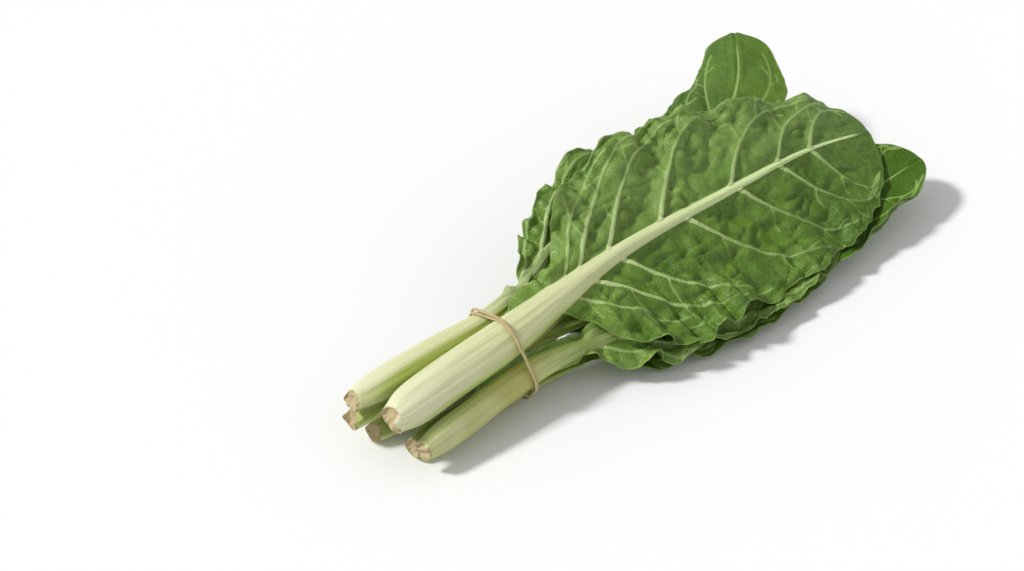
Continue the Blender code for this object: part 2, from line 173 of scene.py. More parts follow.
# The stage: the camera looks at TARGET, in metres, from the photograph's side.
FLOOR_SIZE = 60.0
FLOOR_GREY = 0.93
WORLD_LIGHT = 0.48
TARGET = (-0.1216, -0.0276, 0.092)
CAMERA_AZIMUTH = -42.0
CAMERA_ELEVATION = 40.0
CAMERA_DISTANCE = 1.408
CAMERA_LENS = 85.0
CAMERA_SENSOR = 36.0
# Suns: name, azimuth, elevation, spread and power.
LIGHTS = (("key", -126.0, 44.0, 9.0, 2.6), ("fill", 30.0, 40.0, 40.0, 0.10))


@dataclass
class Leaf:
    """One leaf's driving dimensions, as in the solids, with what its veins and surface need."""

    name: str
    spine: tuple
    roll: tuple
    petiole: float
    blade_from: float
    left: float
    right: float
    curl: tuple
    ribs_up: bool
    ruffle: float
    waves: tuple
    phase: float
    base: tuple = (0.2, 0.2)
    tip: tuple = (2.0, 2.0)
    veins: tuple = ()  # where side veins leave the midrib on the left and right, as shares of the blade
    seed: int = 0
    fine: tuple = (139, 30, 12, 27)  # rows of the blade and the petiole, lanes over the rib and over a wing
    bloom_and_painted_light: tuple = (0.5, 0.5)  # how grey the green is on the left and right: bright at 0, pale grey at 1; partly the blade's own grey bloom, partly painted light, lighter and greyer on the side the light falls on, with a painted grey sheen
    shade: float = 0.0  # how deep the green is
    crumple: float = 0.8  # how strongly the blade is puckered
    frill: tuple = (2.4, 21.0, 4.0)  # the margins' small waves: height, length, closeness
    base_frill: float = 0.0  # height of the tighter waves near the stem
    rolls: tuple = ()  # rolled margins: side, from, to, from which share of the half-width, degrees
    flanks_green_and_shade: tuple = ((0.6, 0.4), (0.6, 0.4))  # how green the stem's left and right are, and from where: partly their own yellow-green, partly painted shade on the side turned from the light
    stem_green: float = 0.4  # how green the whole stem is
    rib_green: float = 0.3  # how green the midrib is past the stem
    ochre: float = 0.1  # how much of the stem is tanned
    lip: float = 0.0  # how far a torn lip stands out of the cut end
    wings: tuple = ((0.0, 0.0), (0.0, 0.0))  # narrow blades beside the stem: width and start
    trims: tuple = ()  # where a margin stands out or in: side, where, spread, how much


LEAVES = (
    Leaf(
        name="bottom_leaf",
        spine=(
            (4, 19, 8), (50, 16, 9.5), (93, 11.5, 10.4), (160, 14, 9), (230, 22, 7), (300, 34, 8),
            (385, 48, 20),
        ),
        roll=(-3, -4, -5, -2, 5, 8, 10),
        petiole=21, blade_from=0.34, left=60, right=50, curl=(46, 4), ribs_up=False,
        ruffle=5.5, waves=(5.5, 4.5), phase=0.4, seed=11,
        veins=((0.03, 0.16, 0.30, 0.45, 0.60, 0.76), (0.06, 0.20, 0.35, 0.50, 0.66, 0.80)),
        bloom_and_painted_light=(0.35, 0.35), crumple=0.7, ochre=0.3,
    ),
    Leaf(
        name="lower_leaf",
        spine=(
            (38, 2, 21), (60, 5, 21.3), (93, 9.5, 21.3), (150, 5, 19), (220, -6, 11), (300, -18, 9),
            (370, -28, 14), (432, -37, 27),
        ),
        roll=(-2, -4, -5, -4, 3, 7, 6, 4),
        petiole=19, blade_from=0.29, left=55, right=42, curl=(34, 16), ribs_up=False,
        ruffle=5.0, waves=(5.0, 5.5), phase=1.9, seed=23, fine=(199, 30, 12, 36),
        veins=((0.04, 0.17, 0.32, 0.48, 0.63, 0.78, 0.88), (0.08, 0.22, 0.37, 0.52, 0.68, 0.82)),
        bloom_and_painted_light=(0.0, 0.0), shade=0.85, crumple=0.5, frill=(1.6, 21.0, 4.0), stem_green=0.5,
        rolls=((1, 0.66, 0.93, 0.68, 90.0),), trims=((1, 0.8, 0.2, 0.12),),
    ),
    Leaf(
        name="right_lower_leaf",
        spine=(
            (12, -8, 9), (50, -9.5, 10.5), (93, -11, 12.2), (140, -19, 11), (190, -30, 8), (240, -40, 8),
            (290, -47, 9), (328, -52, 14),
        ),
        roll=(4, 6, 12, 10, 4, 2, 0, 0),
        petiole=20, blade_from=0.36, left=38, right=30, curl=(6, 10), ribs_up=False,
        ruffle=4.5, waves=(4.0, 4.5), phase=3.3, base=(0.45, 0.2), seed=37,
        veins=((0.05, 0.20, 0.38, 0.56, 0.74), (0.02, 0.15, 0.32, 0.50, 0.68)),
        bloom_and_painted_light=(0.1, 0.1), crumple=0.7, frill=(2.0, 21.0, 4.0), stem_green=0.5,
    ),
    Leaf(
        name="right_leaf",
        spine=(
            (9, -19.5, 16), (50, -20, 21.5), (93, -19.5, 26.5), (140, -26, 28.5), (190, -32, 25),
            (250, -36, 21), (310, -38, 20), (352, -40, 22),
        ),
        roll=(62, 60, 60, 45, 28, 18, 12, 8),
        petiole=20, blade_from=0.33, left=44, right=37, curl=(-2, 6), ribs_up=True,
        ruffle=5.5, waves=(4.5, 5.5), phase=5.0, base=(0.35, 0.2), seed=41,
        veins=((0.05, 0.20, 0.36, 0.53, 0.70), (0.02, 0.14, 0.30, 0.46, 0.64, 0.80)),
        bloom_and_painted_light=(0.45, 0.45), frill=(3.4, 15.0, 1.8), base_frill=1.5,
        flanks_green_and_shade=((0.6, 0.25), (0.5, 0.4)), stem_green=0.35, rib_green=0.9, ochre=0.75,
        wings=((3.2, 42.0), (3.0, 98.0)), trims=((0, 0.08, 0.12, -0.6), (1, 0.35, 0.15, -0.12)),
    ),
    Leaf(
        name="inner_leaf",
        spine=(
            (8, 1, 22.5), (38, 0, 30), (93, -2, 33), (150, 3, 37), (210, 10, 42), (280, 16, 44),
            (350, 20, 40),
        ),
        roll=(10, 14, 18, 26, 30, 30, 30),
        petiole=18, blade_from=0.37, left=46, right=42, curl=(-10, -4), ribs_up=True,
        ruffle=4.0, waves=(4.0, 4.0), phase=0.9, base=(0.3, 0.35), seed=53,
        veins=((0.05, 0.21, 0.38, 0.55, 0.72), (0.02, 0.16, 0.33, 0.50, 0.68)),
        frill=(2.0, 21.0, 4.0), stem_green=0.5, rib_green=0.6,
    ),
    Leaf(
        name="back_leaf",
        spine=(
            (-7, 26, 19.5), (50, 22.5, 28), (93, 20, 32), (150, 23, 38), (210, 30, 47), (270, 38, 54),
            (320, 48, 59), (360, 67, 64), (396, 104, 72),
        ),
        roll=(-8, -8, -8, 2, 12, 14, 12, 6, 0),
        petiole=21, blade_from=0.34, left=38, right=40, curl=(-16, -6), ribs_up=False,
        ruffle=4.0, waves=(5.0, 4.5), phase=2.6, seed=61, fine=(199, 30, 12, 36),
        veins=((0.05, 0.19, 0.34, 0.49, 0.66), (0.02, 0.15, 0.30, 0.44, 0.56, 0.70)),
        bloom_and_painted_light=(0.45, 0.0), crumple=0.3, frill=(1.4, 21.0, 4.0), stem_green=0.6,
        trims=((0, 0.93, 0.12, 0.08), (1, 0.9, 0.12, 0.15), (0, 1.0, 0.05, 0.5), (1, 1.0, 0.05, 0.5)),
    ),
    Leaf(
        name="left_leaf",
        spine=(
            (-6, 26, 32), (50, 21, 40.3), (93, 18.5, 44), (130, 23, 51), (170, 32, 61), (220, 35, 66),
            (270, 30, 66), (320, 24, 62),
        ),
        roll=(2, 3, 5, 18, 32, 36, 34, 32),
        petiole=22, blade_from=0.36, left=39, right=40, curl=(-25, 4), ribs_up=True,
        ruffle=6.5, waves=(5.0, 4.5), phase=4.2, tip=(0.9, 2.0), seed=71,
        veins=((0.03, 0.17, 0.33, 0.50, 0.68), (0.06, 0.22, 0.40, 0.58, 0.75)),
        bloom_and_painted_light=(0.4, 0.4), crumple=0.9, frill=(4.6, 13.0, 1.5), base_frill=5.0,
        flanks_green_and_shade=((0.2, 0.6), (0.9, 0.0)), stem_green=0.0, rib_green=0.9,
        trims=((0, 0.12, 0.26, -0.4), (1, 0.0, 0.09, -0.7)),
    ),
    Leaf(
        name="top_leaf",
        spine=(
            (0, -3, 34), (50, -4, 42.5), (93, -4, 46.8), (120, -3, 50.5), (180, 0, 57), (290, 0, 55),
            (366, 0, 49), (417, -3, 38),
        ),
        roll=(34, 36, 37, 36, 35, 35, 35, 34),
        petiole=27.5, blade_from=0.285, left=66, right=74, curl=(-6, 12), ribs_up=True,
        ruffle=4.5, waves=(6.0, 5.0), phase=0.0, base=(0.19, 0.15), tip=(1.0, 2.9),
        seed=83, fine=(251, 44, 24, 51),
        veins=((0.02, 0.1, 0.2, 0.353, 0.561, 0.707, 0.81), (0.05, 0.1275, 0.22, 0.416, 0.575, 0.707, 0.81)),
        bloom_and_painted_light=(1.0, 0.12), crumple=1.05, frill=(3.6, 17.0, 2.3), base_frill=1.0,
        flanks_green_and_shade=((0.25, 0.7), (0.75, 0.45)), stem_green=0.0, rib_green=0.0, ochre=0.0, lip=6.0,
        wings=((9.0, 98.0), (0.0, 98.0)), trims=((1, 0.078, 0.03, -0.1),),
    ),
)


# ---- curves, noise and other small tools ----


def natural_spline(knots, values, at):
    """A smooth curve through values at knots, read at the places in at."""
    knots, values, at = (np.asarray(x, float) for x in (knots, values, at))
    shape = values.shape[1:]
    values = values.reshape(len(knots), -1)
    gap = np.diff(knots)
    slope = np.diff(values, axis=0) / gap[:, None]
    system = np.eye(len(knots))
    load = np.zeros_like(values)
    for i in range(1, len(knots) - 1):
        system[i, i - 1 : i + 2] = gap[i - 1], 2 * (gap[i - 1] + gap[i]), gap[i]
        load[i] = 6 * (slope[i] - slope[i - 1])
    bend = np.linalg.solve(system, load)
    i = np.clip(np.searchsorted(knots, at, side="right") - 1, 0, len(gap) - 1)
    t, h = (at - knots[i])[:, None], gap[i][:, None]
    rise = slope[i] - h * (2 * bend[i] + bend[i + 1]) / 6
    found = values[i] + t * (rise + t * (bend[i] / 2 + t * (bend[i + 1] - bend[i]) / (6 * h)))
    return found.reshape((len(at),) + shape)


def smoothstep(x, low=0.0, high=1.0):
    """A smooth rise from 0 at low to 1 at high."""
    x = np.clip((x - low) / (high - low), 0, 1)
    return x * x * (3 - 2 * x)


def chance_at(i, j, seed):
    """A number from 0 to 1 for each unit square, the same each time."""
    wave = np.sin(i * 127.1 + j * 311.7 + seed * 74.7) * 43758.5453
    return wave - np.floor(wave)


def noise(x, y, seed):
    """Smooth noise from -1 to 1, with one bump in each unit square."""
    x, y = np.broadcast_arrays(x, y)
    i, j = np.floor(x), np.floor(y)
    u, v = smoothstep(x - i), smoothstep(y - j)

    def corner(a, b):
        return 2 * chance_at(i + a, j + b, seed) - 1

    low = corner(0, 0) * (1 - u) + corner(1, 0) * u
    high = corner(0, 1) * (1 - u) + corner(1, 1) * u
    return low * (1 - v) + high * v


def cells(x, y, seed):
    """How far inside its cell each place is, and the cell's number; about one cell in each unit square."""
    i, j = np.floor(x), np.floor(y)
    first = np.full(x.shape, 9.0)
    second, chosen = first.copy(), np.zeros(x.shape)
    for a in (-1, 0, 1):
        for b in (-1, 0, 1):
            chance = chance_at(i + a, j + b, seed)
            other = chance * 57.31 - np.floor(chance * 57.31)
            gap = np.hypot(i + a + 0.1 + 0.8 * chance - x, j + b + 0.1 + 0.8 * other - y)
            second = np.minimum(second, np.maximum(first, gap))
            chosen = np.where(gap < first, other, chosen)
            first = np.minimum(first, gap)
    return second - first, chosen


# ---- a leaf's sheet, as in the solids ----


def spine_of(leaf, share):
    """Points, unit tangents and roll of the midrib at shares of its length, and that length."""
    points = np.array(leaf.spine, float)
    knots = np.concatenate([[0], np.cumsum(np.linalg.norm(np.diff(points, axis=0), axis=1))])
    fine = np.linspace(0, knots[-1], SPINE_STEPS)
    line = natural_spline(knots, points, fine)
    run = np.concatenate([[0], np.cumsum(np.linalg.norm(np.diff(line, axis=0), axis=1))])
    at = np.interp(np.asarray(share) * run[-1], run, fine)
    step = 0.5
    place = natural_spline(knots, points, at)
    tangent = natural_spline(knots, points, np.clip(at + step, 0, knots[-1]))
    tangent -= natural_spline(knots, points, np.clip(at - step, 0, knots[-1]))
    tangent /= np.linalg.norm(tangent, axis=1)[:, None]
    roll = np.radians(natural_spline(knots, leaf.roll, at))
    return place, tangent, roll, run[-1]


def blade_share(leaf, share):
    return np.clip((share - leaf.blade_from) / (1 - leaf.blade_from), 0, 1)


def rib_half_width(leaf, share):
    return leaf.petiole / 2 * natural_spline(RIB_AT, RIB_WIDTH, share)


def half_widths(leaf, share):
    """The left and right half-widths of the whole leaf, petiole included."""
    rib = rib_half_width(leaf, share)
    q = blade_share(leaf, share)
    found = []
    for widest, base, tip in zip((leaf.left, leaf.right), leaf.base, leaf.tip):
        rise = smoothstep(q / (2 * base)) * 0.5 + smoothstep(q / base) * 0.5
        past = np.clip((q - 0.5) / 0.5, 0, 1)
        fall = np.sqrt(1 - past**tip)
        found.append(np.maximum(rib * np.clip((1 - q) * 8, 0, 1), widest * rise * fall))
    return found


def across_leaf(lane, rib, left, right):
    """Distances from the midrib, positive to the left, for each station and lane."""
    lane = np.asarray(lane, float)[None]
    ra, rb = np.minimum(rib, 0.5 * left)[:, None], np.minimum(rib, 0.5 * right)[:, None]
    core = np.clip(lane / LANE_RIB, -1, 1)
    wing = np.clip((np.abs(lane) - LANE_RIB) / (LANE_EDGE - LANE_RIB), 0, 1)
    on_left = core * ra + (left[:, None] - ra) * wing
    on_right = core * rb - (right[:, None] - rb) * wing
    return np.where(lane >= 0, on_left, on_right)


def across(roll, turn, reach, distance):
    """Sideways and upward travel after going distance along a half-section that turns by turn over reach."""
    rate = turn / reach
    rate = np.where(np.abs(rate) < 1e-6, 1e-6, rate)
    end = roll + rate * distance
    return (np.sin(end) - np.sin(roll)) / rate, (np.cos(roll) - np.cos(end)) / rate


def ruffle(leaf, share, side, edge):
    """Height of the waves along a margin; side is 0 on the left and 1 on the right, edge runs from 0 to 1."""
    q = blade_share(leaf, share)
    turn = 2 * math.pi * leaf.waves[side] * q + leaf.phase + 1.7 * side
    wave = np.sin(turn + 0.8 * np.sin(2.3 * q * math.pi + leaf.phase)) + 0.35 * np.sin(1.73 * turn + 1.0)
    strength = smoothstep(q / 0.12) * (1 - 0.55 * smoothstep((q - 0.45) / 0.5))
    return leaf.ruffle * wave * strength * edge**2


def sheet_of(leaf, share, b, left, right, waviness=1.0):
    """The leaf's middle surface: a grid of points for stations share and distances b across."""
    place, tangent, roll, _ = spine_of(leaf, share)
    level = np.stack([-tangent[:, 1], tangent[:, 0], np.zeros(len(share))], 1)
    level /= np.linalg.norm(level, axis=1)[:, None]
    up = np.cross(tangent, level)
    blade = smoothstep((share - leaf.blade_from) / FOLD_FADE)
    fold = -PETIOLE_FOLD if leaf.ribs_up else PETIOLE_FOLD
    grid = np.empty(b.shape + (3,))
    for side, (sign, reach, curl) in enumerate(((1, left, leaf.curl[0]), (-1, right, leaf.curl[1]))):
        turn = np.radians(fold + (curl - fold) * blade)[:, None]
        sideways, rise = across(sign * roll[:, None], turn, reach[:, None], np.abs(b))
        edge = np.clip(np.abs(b) / reach[:, None], 0, 1)
        rise = rise + ruffle(leaf, share[:, None], side, edge) * waviness
        half = place[:, None] + sign * sideways[..., None] * level[:, None] + rise[..., None] * up[:, None]
        grid = np.where((sign * b >= 0)[..., None], half, grid)
    return grid


def normals_of(grid):
    normal = np.cross(np.gradient(grid, axis=0), np.gradient(grid, axis=1))
    return normal / np.linalg.norm(normal, axis=2)[..., None]


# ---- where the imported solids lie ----


def stations(leaf):
    """The shares of the length at which the solid's sections lie."""
    start = leaf.blade_from
    base_end = start + BASE_END * (1 - start)
    tip_start = start + TIP_START * (1 - start)
    turn = np.linspace(0, math.pi / 2, TIP_STATIONS, endpoint=False)
    return np.concatenate(
        [
            np.linspace(0, start, PETIOLE_STATIONS, endpoint=False),
            np.linspace(start, base_end, BASE_STATIONS, endpoint=False),
            np.linspace(base_end, tip_start, BLADE_STATIONS, endpoint=False),
            tip_start + (1 - tip_start) * np.append(np.sin(turn), TIP_END),
        ]
    )


def solid_faces(leaf):
    """The upper and lower faces of a leaf's solid, before the blades were settled."""
    share = stations(leaf)
    left, right = half_widths(leaf, share)
    rib = rib_half_width(leaf, share)
    b = across_leaf(SOLID_LANES, rib, left, right)
    sheet = sheet_of(leaf, share, b, left, right)
    x = np.clip(np.abs(b) / rib[:, None], 0, 1)
    dome = np.sqrt(1 - x**2)
    depth = 2 * rib[:, None] * RIB_DEPTH
    outer = SOLID_THICKNESS / 2 + depth * OUTER_SHARE * dome
    channel = 1 - CHANNEL_DEPTH * np.exp(-((x / CHANNEL_WIDTH) ** 2))
    inner = SOLID_THICKNESS / 2 + depth * (1 - OUTER_SHARE) * dome * channel
    upper, lower = (outer, inner) if leaf.ribs_up else (inner, outer)
    normal = normals_of(sheet)
    return sheet + normal * upper[..., None], sheet - normal * lower[..., None]


def corners_of(name):
    """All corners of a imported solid, in millimetres."""
    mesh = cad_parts[name].data
    corners = np.empty(3 * len(mesh.vertices))
    mesh.vertices.foreach_get("co", corners)
    return corners.reshape(-1, 3) / MM


def sideways_shift():
    """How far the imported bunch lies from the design's own origin, along x and y."""
    leaf = LEAVES[-1]
    nominal = np.concatenate([face.reshape(-1, 3) for face in solid_faces(leaf)])
    return corners_of(leaf.name).min(0)[:2] - nominal.min(0)[:2]


def settled_heights(leaf, shift):
    """How far up the solid's sections went, with the settling and the packing, at its stations and lanes.

    The sections only moved straight up or down, so each corner is found again by its place in plan.
    """
    packed = corners_of(leaf.name)
    plan = KDTree(len(packed))
    for i, corner in enumerate(packed):
        plan.insert((corner[0], corner[1], 0), i)
    plan.balance()
    top, bottom = solid_faces(leaf)
    found = np.full(top.shape[:2], np.nan)
    for at in np.ndindex(found.shape):
        rises = []
        for face, choose in ((top, max), (bottom, min)):
            x, y, z = face[at]
            near = plan.find_range((x + shift[0], y + shift[1], 0), SAME_CORNER)
            if near:
                rises.append(choose(packed[i][2] for _, i, _ in near) - z)
        if rises:
            found[at] = min(rises, key=abs)
    lost = np.isnan(found)
    found[lost] = np.nanmean(found, axis=1, keepdims=True).repeat(found.shape[1], 1)[lost]
    return found


# ---- veins ----


def vein_lines(leaf, length):
    """The side veins and their branches, each as places along and across the leaf, half-widths and a rank."""
    chance = np.random.default_rng(leaf.seed)
    lines = []

    def reach(x, side):
        return half_widths(leaf, np.clip(x / length, 0, 1))[side]

    for side, sign in enumerate((1, -1)):
        for k, q in enumerate(leaf.veins[side]):
            start = (leaf.blade_from + q * (1 - leaf.blade_from)) * length
            run = min((VEIN_RUN[side] - 25 * q) * chance.uniform(0.92, 1.08), 0.8 * (length - start))
            t = np.linspace(0, 1, VEIN_STEPS)
            x = start + run * t**1.1 + 1.6 * noise(t * 3.5, k, leaf.seed) * t
            b = 0.9 * (1 - (1 - t) ** 1.7) * reach(x, side)
            b += 1.4 * noise(t * 3 + 9, k, leaf.seed) * t * (1 - t) * 2
            size = (0.72 if k == 0 else 1.0) * (1 - 0.35 * q)
            half = size * (0.45 + 1.0 * (1 - t) ** 1.3 + 1.5 * np.exp(-t / 0.035))
            lines.append((np.stack([x, sign * b], 1), half, 0))
            for place, basal, angle, stem in BRANCHES:
                i = int(VEIN_STEPS * np.clip(place + chance.uniform(-0.07, 0.07), 0.1, 0.9))
                away = np.array([x[i + 1] - x[i - 1], b[i + 1] - b[i - 1]])
                away /= np.linalg.norm(away)
                side_way = np.array([-away[1], away[0]]) * (1 if basal else -1)
                angle = math.radians(angle + chance.uniform(-8, 8))
                stem *= chance.uniform(0.75, 1.2) * min(1, reach(x[i : i + 1], side)[0] / 45)
                s = np.linspace(0, 1, BRANCH_STEPS)[:, None]
                bent = s * (math.cos(angle) * away + math.sin(angle) * side_way) + 0.25 * s**2 * away
                branch = np.array([x[i], b[i]]) + stem * bent
                branch[:, 1] = np.minimum(branch[:, 1], 0.96 * reach(branch[:, 0], side))
                branch[:, 1] *= sign
                lines.append((branch, 0.5 * size * (1 - 0.6 * s[:, 0]), 1))
    return lines


def vein_fields(lines, x, b):
    """Over a grid of places: the ridge that the veins raise, the blade's lift beside the main ones, how far
    outside the nearest vein each place lies, and how thick that vein is.
    """
    ridge, tent, thick = np.zeros(x.shape), np.zeros(x.shape), np.zeros(x.shape)
    outside = np.full(x.shape, OFF_VEINS)
    for line, half, rank in lines:
        low, high = line.min(0) - VEIN_REACH, line.max(0) + VEIN_REACH
        near = (x > low[0]) & (x < high[0]) & (b > low[1]) & (b < high[1])
        if not near.any():
            continue
        place = np.stack([x[near], b[near]], 1)
        first, step = line[:-1], np.diff(line, axis=0)
        along = ((place[:, None] - first) * step).sum(2) / (step**2).sum(1)
        along = np.clip(along, 0, 1)
        gap = np.linalg.norm(place[:, None] - first - along[..., None] * step, axis=2)
        i = gap.argmin(1)
        gap = gap[np.arange(len(i)), i]
        width = half[i]
        ridge[near] = np.maximum(ridge[near], 0.85 * width * np.exp(-((gap / np.maximum(width, 1.25)) ** 2)))
        gap_out = np.hypot(gap, VEIN_BLUR) - np.hypot(np.maximum(width, 0.5), VEIN_BLUR)
        closer = gap_out < outside[near]
        outside[near] = np.where(closer, gap_out, outside[near])
        thick[near] = np.where(closer, width, thick[near])
        if rank == 0:
            lift = smoothstep(width, 0.2, 1.0) * np.exp(-((gap / TENT_WIDTH) ** 2))
            tent[near] = np.maximum(tent[near], lift)
    return ridge, tent, outside, smoothstep(thick, 0.3, 1.6)


# ---- one leaf's surface ----


def frill(leaf, x, side, edge, q):
    """Height of the small waves at a margin, on top of the solid's large ones."""
    seed = leaf.seed + 7 * side
    height, length, power = leaf.frill
    turn = 2 * math.pi * (x / length + 0.9 * noise(x / 40, side, seed))
    strength = 0.55 + 0.45 * noise(x / 33, side + 3, seed)
    strength = strength * smoothstep(q, 0.01, 0.08) * (1 - 0.7 * smoothstep(q, 0.5, 0.9))
    strength = strength * (1 - smoothstep(q, 0.9, 0.99))
    large = height * strength * (np.sin(turn) + 0.3 * np.sin(2.3 * turn)) * edge**power
    tight = np.sin(2 * math.pi * (x / BASE_WAVE + 0.7 * noise(x / 19, side + 5, seed)))
    near_base = smoothstep(q, 0.0, 0.05) * (1 - smoothstep(q, 0.2, 0.42))
    return large + leaf.base_frill * near_base * tight * edge**1.3


def rolled(leaf, sheet, q, edge):
    """The sheet with its rolled margins turned up and over."""
    for side, start, end, turn_from, angle in leaf.rolls:
        lanes = np.arange(sheet.shape[1])
        lanes = lanes[sheet.shape[1] // 2 :] if side == 0 else lanes[: sheet.shape[1] // 2 + 1][::-1]
        strength = smoothstep(q[:, :1], start, start + 0.12)
        strength = strength * (1 - smoothstep(q[:, :1], end - 0.06, end + 0.02))
        part = sheet[:, lanes]
        step = np.diff(part, axis=1)
        long = np.linalg.norm(step, axis=2, keepdims=True)
        way = step / np.maximum(long, 1e-6)
        up = normals_of(sheet)[:, lanes[1:]]
        turn = smoothstep(edge[:, lanes[1:]], turn_from, turn_from + 0.35) * strength * math.radians(angle)
        step = long * (way * np.cos(turn)[..., None] + up * np.sin(turn)[..., None])
        sheet[:, lanes[1:]] = part[:, :1] + np.cumsum(step, axis=1)
    return sheet


def pucker(leaf, x, b, q, rib):
    """Height of the crumpled blade between its veins, and how deep in a fold each place is, from 0 to 1, for
    the shade painted into the folds.

    The pads lie between the small veins, longer along the midrib than across it.
    """
    seed = leaf.seed
    lean = x - 0.8 * np.abs(b)
    bent_x = lean + 4 * noise(x / 16, b / 12, seed + 1)
    bent_b = b + 0.2 * lean * np.sign(b) + 3 * noise(lean / 14, b / 11, seed + 2)
    inside, chance = cells(bent_x / PAD_SIZE[0], bent_b / PAD_SIZE[1], seed + 3)
    height = PAD_HEIGHT * (smoothstep(inside, 0.0, 0.8) - 0.6) * (0.35 + 0.65 * chance)
    height += 3.8 * noise(bent_x / 27, bent_b / 19, seed + 7) + 2.2 * noise(bent_x / 14, bent_b / 9, seed + 8)
    height += 0.5 * noise(bent_x / 5, bent_b / 4, seed + 9)
    wrinkle = np.abs(np.sin(math.pi * bent_b / WRINKLE_GAP + 1.5 * noise(lean / 15, b / 25, seed + 4)))
    where = smoothstep(noise(x / 14, b / 10, seed + 5), -0.1, 0.45)
    height += WRINKLE_HEIGHT * (wrinkle**0.8 - 0.6) * where
    crease = (1 - smoothstep(inside, 0.0, 0.15)) * (0.2 + 0.5 * chance) + 0.8 * (1 - wrinkle) ** 4 * where
    calm = 1 - 0.6 * smoothstep(q, 0.62, 0.9)
    where = smoothstep(np.abs(b), rib * 0.9, rib + 6) * smoothstep(q, 0.0, 0.12) * calm
    return leaf.crumple * height * where, crease * where


